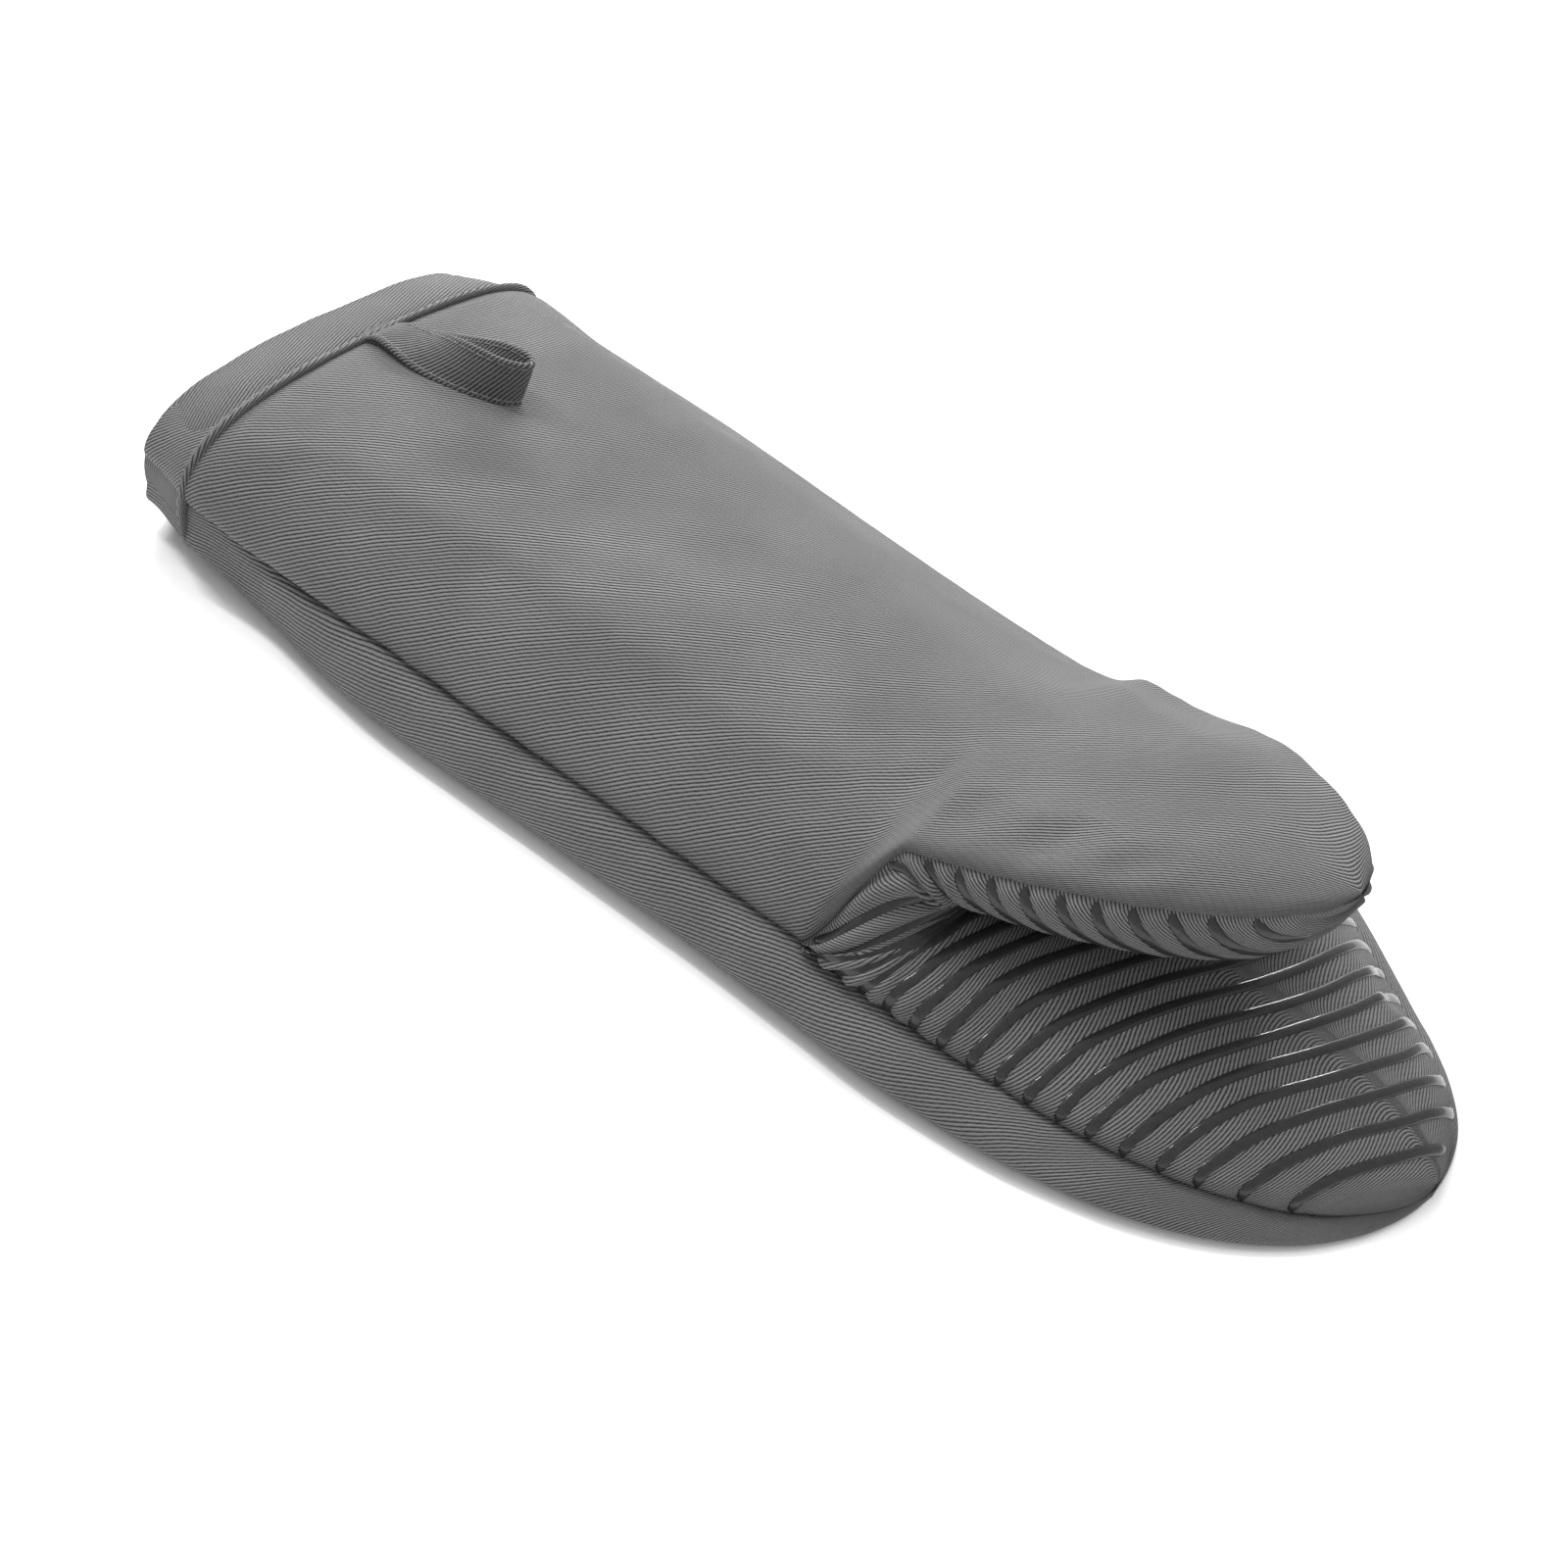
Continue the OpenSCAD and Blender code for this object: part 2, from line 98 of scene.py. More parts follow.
class MittSizes(bpy.types.PropertyGroup):
    """Sizes of the mitt's pattern and trim"""

    length: bpy.props.FloatProperty(
        name="Length", description="From the rim to the finger tip",
        default=0.357, min=0.3, max=0.43, unit="LENGTH")
    cuff_half: bpy.props.FloatProperty(
        name="Cuff half width", description="From the middle to a side seam",
        default=0.068, min=0.06, max=0.08, unit="LENGTH")
    rim_half: bpy.props.FloatProperty(
        name="Rim half width", description="From the middle to the side roll's edge at the rim",
        default=0.065, min=0.058, max=0.078, unit="LENGTH")
    roll_half: bpy.props.FloatProperty(
        name="Roll half width", description="From the middle to the side roll's edge",
        default=0.075, min=0.068, max=0.082, unit="LENGTH")
    knuckle_half: bpy.props.FloatProperty(
        name="Knuckle half width", description="From the middle to the edge at the knuckles",
        default=0.0785, min=0.072, max=0.086, unit="LENGTH")
    crotch: bpy.props.FloatProperty(
        name="Mouth corner", description="From the rim to the corner of the mouth",
        default=0.217, min=0.19, max=0.24, unit="LENGTH")
    thumb_length: bpy.props.FloatProperty(
        name="Thumb tip", description="From the rim to the tip of the thumb",
        default=0.314, min=0.3, max=0.33, unit="LENGTH")
    cuff_height: bpy.props.FloatProperty(
        name="Cuff height", description="Height of the cuff's crown",
        default=0.0475, min=0.04, max=0.054, unit="LENGTH")
    thumb_rise: bpy.props.FloatProperty(
        name="Thumb rise", description="Extra height of the crown over the thumb",
        default=0.020, min=0.014, max=0.028, unit="LENGTH")
    padding: bpy.props.FloatProperty(
        name="Padding", description="Thickness of twill, wadding and lining together",
        default=0.0056, min=0.004, max=0.008, unit="LENGTH")
    binding_width: bpy.props.FloatProperty(
        name="Binding width", description="Width of the tape that shows round the cuff",
        default=0.021, min=0.015, max=0.024, unit="LENGTH")
    binding_thickness: bpy.props.FloatProperty(
        name="Binding thickness", description="Thickness of the binding's folded tape",
        default=0.0012, min=0.0008, max=0.0016, unit="LENGTH")
    tape_width: bpy.props.FloatProperty(
        name="Loop tape width", description="Width of the hanging loop's tape",
        default=0.013, min=0.01, max=0.016, unit="LENGTH")
    tape_thickness: bpy.props.FloatProperty(
        name="Loop tape thickness", description="Thickness of the hanging loop's tape",
        default=0.0016, min=0.0012, max=0.002, unit="LENGTH")
    stripe_pitch: bpy.props.FloatProperty(
        name="Stripe spacing", description="Spacing of the grip stripes along the mitt",
        default=0.0074, min=0.006, max=0.01, unit="LENGTH")
    stripe_width: bpy.props.FloatProperty(
        name="Stripe width", description="Width of one grip stripe",
        default=0.0028, min=0.0016, max=0.003, unit="LENGTH")
    stripe_height: bpy.props.FloatProperty(
        name="Stripe height", description="Height of a grip stripe above the twill",
        default=0.0006, min=0.0004, max=0.001, unit="LENGTH")
    wale: bpy.props.FloatProperty(
        name="Twill wale", description="Spacing of the twill's diagonal ridges",
        default=0.00098, min=0.0006, max=0.0016, unit="LENGTH")


class MittColours(bpy.types.PropertyGroup):
    """Colours of the mitt's cloths and trim"""

    twill: bpy.props.FloatVectorProperty(
        name="Twill", description="Colour of the outer cotton twill",
        subtype="COLOR", size=3, min=0, max=1, default=(0.118, 0.118, 0.118))
    tape: bpy.props.FloatVectorProperty(
        name="Tape", description="Colour of the binding and the loop",
        subtype="COLOR", size=3, min=0, max=1, default=(0.092, 0.092, 0.092))
    lining: bpy.props.FloatVectorProperty(
        name="Lining", description="Colour of the plain-woven lining",
        subtype="COLOR", size=3, min=0, max=1, default=(0.25, 0.25, 0.25))
    silicone: bpy.props.FloatVectorProperty(
        name="Silicone", description="Colour of the grip stripes",
        subtype="COLOR", size=3, min=0, max=1, default=(0.018, 0.018, 0.018))
    thread: bpy.props.FloatVectorProperty(
        name="Thread", description="Colour of the sewing thread",
        subtype="COLOR", size=3, min=0, max=1, default=(0.17, 0.17, 0.17))


# --------------------------------------------------------------------------- pattern

def ease(t):
    t = np.clip(t, 0, 1)
    return t * t * (3 - 2 * t)


def mix(a, b, t):
    return a + (b - a) * t


def puff(v, n, m):
    return np.maximum(0, 1 - np.minimum(1, np.abs(v)) ** n) ** (1 / m)


def across(columns, n, m):
    """Side offsets from -1 to 1, and the crown's share of its height, of the columns of a row."""
    turn = np.linspace(-math.pi / 2, math.pi / 2, columns)
    side = np.sign(turn) * np.abs(np.sin(turn)) ** (2 / n)
    return side, np.maximum(np.cos(turn), 0) ** (2 / m)


def grid_of(x, y, z):
    """Points of a grid, moved so that the rim is half the mitt's length behind the origin.

    The far shoulder sags towards the thumb's root, and the fingers' far side slims to its tip.
    """
    x, y, z = np.broadcast_arrays(x, y, z)
    sag = FAR_SAG * ease((x - 0.075) / 0.14) * (1 - ease((x - 0.240) / 0.038))
    sag = sag * ease(y / 0.05) * ease((z - 0.020) / 0.018)
    slim = FAR_SLIM * ease((x - 0.28) / 0.05) * (1 - ease((z - 0.0305) / 0.006))
    y = np.where(y > 0, y * (1 - slim), y)
    return np.stack([x - HALF_LENGTH, y, z - sag], axis=-1).astype(float)


FIRST_STRIPE = {"finger": 0.2350, "thumb": 0.2336}  # station of a stripe at the near seam
HALF_LENGTH = 0.1785  # from the origin, in the middle of the footprint, to the rim


class Pattern:
    """Outline and heights of the mitt, worked out from its sizes"""

    def __init__(self, sizes):
        self.sizes = sizes
        self.thumb_hinge = JOINTS["thumb_open"]["pos_m"][0] + HALF_LENGTH
        self.finger_hinge = JOINTS["finger_curl"]["pos_m"][0] + HALF_LENGTH

    def seam_height(self, s):
        m = self.sizes
        cuff = mix(RIM_SEAM, CORNER_SEAM, s / m.crotch)
        tip = mix(CORNER_SEAM, TIP_SEAM, (s - m.crotch) / (m.length - m.crotch))
        return np.where(s < m.crotch, cuff, tip)

    def floor(self, s, depth):
        lift = self.sizes.binding_thickness * (1 - ease((s - RIM_DEPTH) / 0.020))
        return depth * np.minimum(1, self.seam_height(s) / FULL_HEIGHT) + lift

    def low_seam(self, s, depth):
        share = 1 - 0.6 * depth / self.sizes.padding
        return self.floor(s, depth) + self.seam_height(s) * share

    def finger_share(self, s, depth):
        m = self.sizes
        return np.maximum(0, (s - m.crotch) / (m.length - 2.6 * depth - m.crotch))

    def close_in(self, s):
        return RIM_IN * (1 - ease(s / RIM_DEPTH))

    def finger_half(self, s, depth):
        half = self.sizes.cuff_half - self.close_in(s) - 0.9 * depth
        return half * puff(self.finger_share(s, depth), 2.5, 2)

    def roll_out(self, s, depth):
        m = self.sizes
        out = (m.rim_half - self.close_in(s) + (m.roll_half - m.rim_half) * ease((s - 0.015) / 0.095)
               + (m.knuckle_half - m.roll_half) * ease((s - 0.180) / 0.075) - depth)
        return out * puff(self.finger_share(s, depth), 3, 2)

    def thumb_share(self, s, depth):
        m = self.sizes
        return np.maximum(0, (s - m.crotch) / (m.thumb_length - 2.2 * depth - m.crotch))

    def climb(self, s):
        return ease((s - self.sizes.crotch) / WEB_RISE)

    def top_half(self, s, depth):
        half = mix(self.sizes.cuff_half, THUMB_HALF, self.climb(s))
        return (half - self.close_in(s) - 0.9 * depth) * puff(self.thumb_share(s, depth), 1.4, 2)

    def top_seam(self, s, depth):
        corner = self.low_seam(np.full_like(s, self.sizes.crotch), depth)
        lobe = mix(corner, WEB_HEIGHT, self.climb(s)) + THUMB_TILT * self.thumb_share(s, 0)
        return np.where(s < self.sizes.crotch, self.low_seam(s, depth), lobe)

    def top_crown(self, s):
        m = self.sizes
        rim = mix(RIM_CROWN, m.cuff_height, s / RIM_DEPTH)
        rise = m.thumb_rise * ease((s - CROWN_RISE) / (m.thumb_length - CROWN_RISE))
        return np.where(s < RIM_DEPTH, rim, m.cuff_height + rise)

    def thumb_under(self, s):
        return FOLD_HEIGHT + FOLD_GAP + 0.10 * (s - FOLD)

    def finger_over(self, s):
        return FOLD_HEIGHT - FOLD_GAP - 0.005 * ease((s - FOLD) / 0.070)

    def top_rows(self, s, columns, depth=0.0):
        """The thumb-side panel: cuff, then thumb."""
        side, crown = across(columns, 2.6, 2.8)
        seam = self.top_seam(s, depth)
        height = (self.top_crown(s) - depth - seam) * puff(self.thumb_share(s, depth), 5, 2.2)
        return grid_of(s[:, None], self.top_half(s, depth)[:, None] * side,
                       seam[:, None] + height[:, None] * crown)

    def back_rows(self, s, roll_columns, flat_columns, depth=0.0):
        """The back panel: a roll at each side and a flat underside."""
        low, top = self.floor(s, depth)[:, None], self.low_seam(s, depth)[:, None] - 0.1 * MM
        seam, out = self.finger_half(s, depth)[:, None], self.roll_out(s, depth)[:, None]
        roll = ROLL_DEPTH + RIM_ROLL * (1 - ease(s / 0.075))[:, None]
        flat = np.maximum(0.3 * out, out - roll)
        mid = mix(low, top, ROLL_MID)
        turn = np.linspace(math.pi / 2, -math.pi / 2, roll_columns)[:-1]
        upper = turn > 0
        y = mix(np.where(upper, seam, flat), out, np.cos(turn))
        z = mid + np.where(upper, top - mid, mid - low) * np.sin(turn)
        y_flat = flat * np.linspace(-1, 1, flat_columns)
        z_flat = np.broadcast_to(low, y_flat.shape)
        return grid_of(s[:, None], np.hstack([-y, y_flat, y[:, ::-1]]),
                       np.hstack([z, z_flat, z[:, ::-1]]))

    def lobe_shape(self, s, columns, lobe):
        """Side offsets and crown shares of the insert's rows, which bulge out beside the mouth."""
        along = s - self.sizes.crotch
        if lobe == "finger":
            away = ease((along - 0.010) / 0.045)[:, None]
            square, bulge = mix(6.5, 2.4, away), mix(0.055, 0.0, away)
        else:
            away = ease((along - 0.020) / 0.025)[:, None]
            square, bulge = mix(6.5, 5.0, away), mix(0.055, 0.09, away)
        turn = np.linspace(-math.pi / 2, math.pi / 2, columns)
        crown = np.broadcast_to(np.maximum(np.cos(turn), 0), (len(s), columns))
        side = np.sign(turn) * (np.abs(np.sin(turn)) ** (2 / square) + bulge * 4 * crown * (1 - crown))
        return side, crown

    def lobe_rows(self, s, columns, lobe, depth=0.0):
        """The palm insert on one lobe, from the mouth's fold (s at the corner) to the lobe's tip."""
        m = self.sizes
        hinge = self.finger_hinge if lobe == "finger" else self.thumb_hinge
        sign = -1 if lobe == "finger" else 1
        side, crown = self.lobe_shape(s, columns, lobe)
        q = (s - m.crotch) / (hinge - m.crotch)
        turn = np.clip(q, 0, 0.5) * math.pi
        fold_x = FOLD + FOLD_GAP
        past = np.clip((q - 0.5) / 0.5, 0, 1)
        x = np.where(q < 0.5, fold_x - (FOLD_GAP + depth) * np.cos(turn), mix(fold_x, hinge, past))
        x = np.where(q > 1, s, x)
        if lobe == "finger":
            half, seam = self.finger_half(s, depth), self.low_seam(s, depth)
            shell = self.finger_over(np.maximum(x, fold_x)) - depth
            share = np.clip((s - hinge) / (m.length - 2.6 * depth - hinge), 0, 1)
            closing = puff(share, 2.2, 2)
        else:
            half, seam = self.top_half(s, depth), self.top_seam(s, depth)
            shell = self.thumb_under(np.maximum(x, fold_x)) + depth
            closing = puff(self.thumb_share(s, depth), 5, 2.2)
        z = np.where(q < 0.5, FOLD_HEIGHT + sign * (FOLD_GAP + depth) * np.sin(turn), shell)
        z = seam + (z - seam) * closing
        return grid_of(mix(s[:, None], x[:, None], crown), half[:, None] * side,
                       mix(seam[:, None], z[:, None], crown))

    def stripe_slant(self, lobe, turn, y):
        """How far forward a stripe has run where it crosses a column."""
        if lobe == "finger":
            return 0.10 * (y + 0.066) + 0.017 * ease((y + 0.062) / 0.085)
        drop = 0.015 * np.cos(turn * math.pi / 2)
        return np.where(turn < 0, drop, 0.030 - drop)

    def ring(self, s, depth, columns=56, roll_columns=12, flat_columns=24):
        """The cuff's closed outline at one station, once round from the near seam over the top."""
        s = np.array([s])
        top = self.top_rows(s, columns, depth)[0]
        low = self.back_rows(s, roll_columns, flat_columns, depth)[0]
        return np.vstack([top, low[-2:0:-1]])


def stations(start, end, spacing, tip=False):
    """Stations from start to end, closer together towards a rounded tip."""
    count = max(4, int(round((end - start) / spacing)))
    t = np.linspace(0, 1, count + 1)
    return start + (end - start - (0.02 * MM if tip else 0)) * (np.sin(t * math.pi / 2) if tip else t)


def stations_to_tip(start, middle, tip, spacing, tip_spacing):
    """Stations from start over the middle to a rounded tip."""
    return np.concatenate([stations(start, middle, spacing),
                           stations(middle, tip, tip_spacing, tip=True)[1:]])


def normals_of(points):
    """Unit normals of a grid, to the left of its rows seen along its columns."""
    along = np.gradient(points, axis=0)
    over = np.gradient(points, axis=1)
    n = np.cross(along, over)
    return n / np.maximum(np.linalg.norm(n, axis=-1, keepdims=True), 1e-12)


def arc_lengths(points):
    """Distances over the cloth of each grid point from its first row and from its middle column."""
    down = np.linalg.norm(np.diff(points, axis=0), axis=-1)
    over = np.linalg.norm(np.diff(points, axis=1), axis=-1)
    middle = points.shape[1] // 2
    u = np.vstack([np.zeros((1, points.shape[1])), np.cumsum(down, axis=0)])
    v = np.hstack([np.zeros((len(points), 1)), np.cumsum(over, axis=1)])
    v -= v[:, middle:middle + 1]
    return u, v


def lengths_along(line):
    """Distance along a line of points from its first point to each of them."""
    return np.concatenate([[0], np.cumsum(np.linalg.norm(np.diff(line, axis=0), axis=1))])


def points_at(distances, span, line):
    """Points at the given distances along a line whose own points lie at span."""
    return np.stack([np.interp(distances, span, line[:, j]) for j in range(3)], axis=1)


def cloud(points, size, seed):
    """Smooth noise from -1 to 1 at each point of a grid."""
    flat = points.reshape(-1, 3) / size + seed * 7.31
    return np.array([noise.noise(Vector(p)) for p in flat]).reshape(points.shape[:-1])


# --------------------------------------------------------------------------- meshes

def grid_mesh(name, points, flip=False, ring=False, uv=None):
    """A smooth-shaded mesh of a grid's points, with its cloth coordinates in metres."""
    rows, cols = points.shape[:2]
    index = np.arange(rows * cols).reshape(rows, cols)
    wrap = np.hstack([index, index[:, :1]]) if ring else index
    a, b, c, d = wrap[:-1, :-1], wrap[1:, :-1], wrap[1:, 1:], wrap[:-1, 1:]
    faces = np.stack([a, d, c, b] if flip else [a, b, c, d], axis=-1).reshape(-1, 4)
    mesh = bpy.data.meshes.new(name)
    mesh.from_pydata(points.reshape(-1, 3).tolist(), [], faces.tolist())
    layer = mesh.uv_layers.new(name="cloth")
    u, v = uv if uv else arc_lengths(points)
    if ring:
        last = v[:, -1:] + np.linalg.norm(points[:, :1] - points[:, -1:], axis=-1)
        u, v = np.hstack([u, u[:, :1]]), np.hstack([v, last])
    corner = np.stack([u, v], axis=-1)
    a, b, c, d = corner[:-1, :-1], corner[1:, :-1], corner[1:, 1:], corner[:-1, 1:]
    loops = np.stack([a, d, c, b] if flip else [a, b, c, d], axis=2).reshape(-1, 2)
    layer.data.foreach_set("uv", loops.ravel())
    mesh.polygons.foreach_set("use_smooth", np.ones(len(mesh.polygons), dtype=bool))
    mesh.update()
    return mesh


def add_piece(name, mesh, material):
    piece = bpy.data.objects.new(name, mesh)
    bpy.context.scene.collection.objects.link(piece)
    mesh.materials.append(material)
    return piece


def bend_at(piece):
    """Bakes a piece's placement into its mesh."""
    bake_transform(piece)


def join_grids(name, grids, flips=None):
    """One mesh of several grids."""
    verts, faces, uvs, start = [], [], [], 0
    for k, points in enumerate(grids):
        part = grid_mesh("part", points, flip=bool(flips and flips[k]))
        verts += [tuple(v.co) for v in part.vertices]
        faces += [[i + start for i in p.vertices] for p in part.polygons]
        data = np.empty(len(part.loops) * 2)
        part.uv_layers[0].data.foreach_get("uv", data)
        uvs.append(data)
        start += len(part.vertices)
        bpy.data.meshes.remove(part)
    mesh = bpy.data.meshes.new(name)
    mesh.from_pydata(verts, [], faces)
    mesh.uv_layers.new(name="cloth").data.foreach_set("uv", np.concatenate(uvs))
    mesh.polygons.foreach_set("use_smooth", np.ones(len(faces), dtype=bool))
    mesh.update()
    return mesh


# --------------------------------------------------------------------------- materials

class Weaver:
    """Adds and links the nodes of one material"""

    def __init__(self, name):
        self.material = bpy.data.materials.new(name)
        self.material.use_nodes = True
        self.tree = self.material.node_tree
        self.shader = self.tree.nodes["Principled BSDF"]

    def add(self, kind, values=(), **settings):
        made = self.tree.nodes.new(kind)
        for key, value in settings.items():
            setattr(made, key, value)
        for key, value in dict(values).items():
            self.set(made.inputs[key], value)
        return made

    def set(self, socket, value):
        if isinstance(value, bpy.types.NodeSocket):
            self.tree.links.new(value, socket)
        else:
            socket.default_value = value

    def math(self, operation, a, b=0.0, c=0.0):
        made = self.add("ShaderNodeMath", {0: a, 1: b, 2: c}, operation=operation)
        return made.outputs[0]

    def noise(self, vector, scale, detail=2.0):
        made = self.add("ShaderNodeTexNoise", {"Vector": vector, "Scale": scale, "Detail": detail})
        return made.outputs["Fac"]

    def ramp(self, value, stops):
        made = self.add("ShaderNodeValToRGB", {"Fac": value})
        points = made.color_ramp.elements
        while len(points) < len(stops):
            points.new(0.5)
        for point, (position, grey) in zip(points, stops):
            point.position, point.color = position, (grey, grey, grey, 1)
        return made.outputs["Color"]

    def tint(self, colour, *factors):
        """Colour times each of the grey factors."""
        out = (*colour, 1)
        for factor in factors:
            made = self.add("ShaderNodeMix", data_type="RGBA", blend_type="MULTIPLY")
            made.inputs["Factor"].default_value = 1
            self.set(made.inputs["A"], out)
            self.set(made.inputs["B"], factor)
            out = made.outputs["Result"]
        return out

    def finish(self, colour, height, distance, strength=1.0, **shader):
        self.set(self.shader.inputs["Base Color"], colour)
        bump = self.add("ShaderNodeBump", {"Height": height, "Distance": distance, "Strength": strength})
        self.set(self.shader.inputs["Normal"], bump.outputs["Normal"])
        for key, value in shader.items():
            self.shader.inputs[key.replace("_", " ")].default_value = value
        return self.material


def twill(name, colour, wale, angle, contrast=1.0):
    """Cotton twill: staggered floats in diagonal ridges, with painted shade in the grooves and painted
    highlight on the ridge tops, and worn cloudy patches.
    """
    w = Weaver(name)
    uv = w.add("ShaderNodeUVMap", uv_map="cloth").outputs["UV"]
    drift = w.math("MULTIPLY", w.math("SUBTRACT", w.noise(uv, 90.0), 0.5), 0.9 * wale)
    parts = w.add("ShaderNodeSeparateXYZ", {0: uv}).outputs
    cos, sin = math.cos(angle), math.sin(angle)
    along = w.math("ADD", w.math("MULTIPLY", parts[0], cos), w.math("MULTIPLY", parts[1], sin))
    over = w.math("SUBTRACT", w.math("MULTIPLY", parts[1], cos), w.math("MULTIPLY", parts[0], sin))
    over = w.math("ADD", over, drift)
    float_at = w.math("MULTIPLY", along, 1 / (2.3 * wale))
    rank = w.math("FLOOR", w.math("MULTIPLY", over, 1 / wale))
    float_at = w.math("ADD", float_at, w.math("MULTIPLY", rank, 0.37))
    slip = w.math("MULTIPLY", w.math("SUBTRACT", w.math("FRACT", float_at), 0.5), 0.05)
    ridge = w.math("FRACT", w.math("ADD", w.math("MULTIPLY", over, 1 / wale), slip))
    ridge = w.math("SINE", w.math("MULTIPLY", ridge, math.pi))
    knot = w.math("SINE", w.math("MULTIPLY", w.math("FRACT", float_at), math.pi))
    knot = w.math("MULTIPLY_ADD", w.math("POWER", knot, 0.6), 0.08, 0.92)
    height = w.math("MULTIPLY", ridge, knot)
    fibre = w.noise(uv, 2600.0, 3.0)
    patch = w.noise(uv, 24.0, 5.0)
    # Painted shade and highlight: the colour is darkest in the grooves between the ridges and lightest
    # on their tops, following the bump's height.
    weave_shade = w.ramp(height, [(0.12, 1 - 0.95 * contrast), (0.62, 1.0), (1.0, 1 + 0.5 * contrast)])
    fuzz = w.ramp(fibre, [(0.25, 0.74), (0.75, 1.22)])
    worn = w.ramp(patch, [(0.3, 0.84), (0.7, 1.14)])
    relief = w.math("MULTIPLY_ADD", fibre, 0.18, height)
    return w.finish(w.tint(colour, weave_shade, fuzz, worn), relief, 0.34 * MM, 1.0,
                    Roughness=0.9, Sheen_Weight=0.12, Sheen_Roughness=0.5, Specular_IOR_Level=0.25)


def plain_weave(name, colour, pitch):
    """Plain-woven cotton: warp and weft crossing one over one, with painted shade where they dip and
    painted highlight where they cross over.
    """
    w = Weaver(name)
    uv = w.add("ShaderNodeUVMap", uv_map="cloth").outputs["UV"]
    parts = w.add("ShaderNodeSeparateXYZ", {0: uv}).outputs
    warp = w.math("SINE", w.math("MULTIPLY", parts[0], 2 * math.pi / pitch))
    weft = w.math("SINE", w.math("MULTIPLY", parts[1], 2 * math.pi / pitch))
    height = w.math("MULTIPLY_ADD", w.math("MULTIPLY", warp, weft), 0.5, 0.5)
    fibre = w.noise(uv, 1800.0, 3.0)
    patch = w.noise(uv, 30.0, 3.0)
    # Painted shade and highlight: the colour is darker where warp and weft dip and lighter where they
    # cross over, following the bump's height.
    colour = w.tint(colour, w.ramp(height, [(0.0, 0.72), (1.0, 1.12)]),
                    w.ramp(fibre, [(0.25, 0.85), (0.75, 1.1)]), w.ramp(patch, [(0.3, 0.9), (0.7, 1.06)]))
    return w.finish(colour, height, 0.15 * MM, 0.8, Roughness=0.92, Sheen_Weight=0.15)


def moulded_silicone(name, colour):
    """Glossy silicone, a little uneven where it was printed and rubbed."""
    w = Weaver(name)
    uv = w.add("ShaderNodeUVMap", uv_map="cloth").outputs["UV"]
    swell = w.noise(uv, 420.0, 2.0)
    dust = w.noise(uv, 2200.0, 2.0)
    shade = w.ramp(swell, [(0.3, 0.8), (0.7, 1.22)])
    rough = w.math("MULTIPLY_ADD", dust, 0.2, 0.3)
    w.set(w.shader.inputs["Roughness"], rough)
    return w.finish(w.tint(colour, shade, w.ramp(dust, [(0.3, 0.9), (0.7, 1.1)])),
                    w.math("ADD", swell, dust), 0.12 * MM, 0.6,
                    Specular_IOR_Level=0.3, Coat_Weight=0.45, Coat_Roughness=0.07)


def twisted_thread(name, colour):
    """Sewing thread with its twist, with painted shade in the twist's grooves and painted highlight on
    the plies.
    """
    w = Weaver(name)
    uv = w.add("ShaderNodeUVMap", uv_map="cloth").outputs["UV"]
    parts = w.add("ShaderNodeSeparateXYZ", {0: uv}).outputs
    turns = w.math("ADD", w.math("MULTIPLY", parts[0], 9000.0), w.math("MULTIPLY", parts[1], 5200.0))
    ply = w.math("MULTIPLY_ADD", w.math("SINE", turns), 0.5, 0.5)
    # Painted shade and highlight: the colour is darker in the twist's grooves and lighter on the plies,
    # following the bump's height.
    return w.finish(w.tint(colour, w.ramp(ply, [(0.0, 0.6), (1.0, 1.2)])), ply, 0.08 * MM, 0.8,
                    Roughness=0.7, Sheen_Weight=0.2)


# --------------------------------------------------------------------------- cloth

def catmull(values, rows, cols):
    """Stretches a coarse grid of values smoothly over a finer one."""
    def stretch(v, count):
        at = np.linspace(0, len(v) - 1, count)
        k = np.minimum(at.astype(int), len(v) - 2)
        t = (at - k).reshape((-1,) + (1,) * (v.ndim - 1))
        p = [v[np.clip(k + j, 0, len(v) - 1)] for j in (-1, 0, 1, 2)]
        return 0.5 * (2 * p[1] + (p[2] - p[0]) * t + (2 * p[0] - 5 * p[1] + 4 * p[2] - p[3]) * t ** 2
                      + (3 * p[1] - p[0] - 3 * p[2] + p[3]) * t ** 3)
    wide = stretch(values, rows)
    return np.swapaxes(stretch(np.swapaxes(wide, 0, 1), cols), 0, 1)


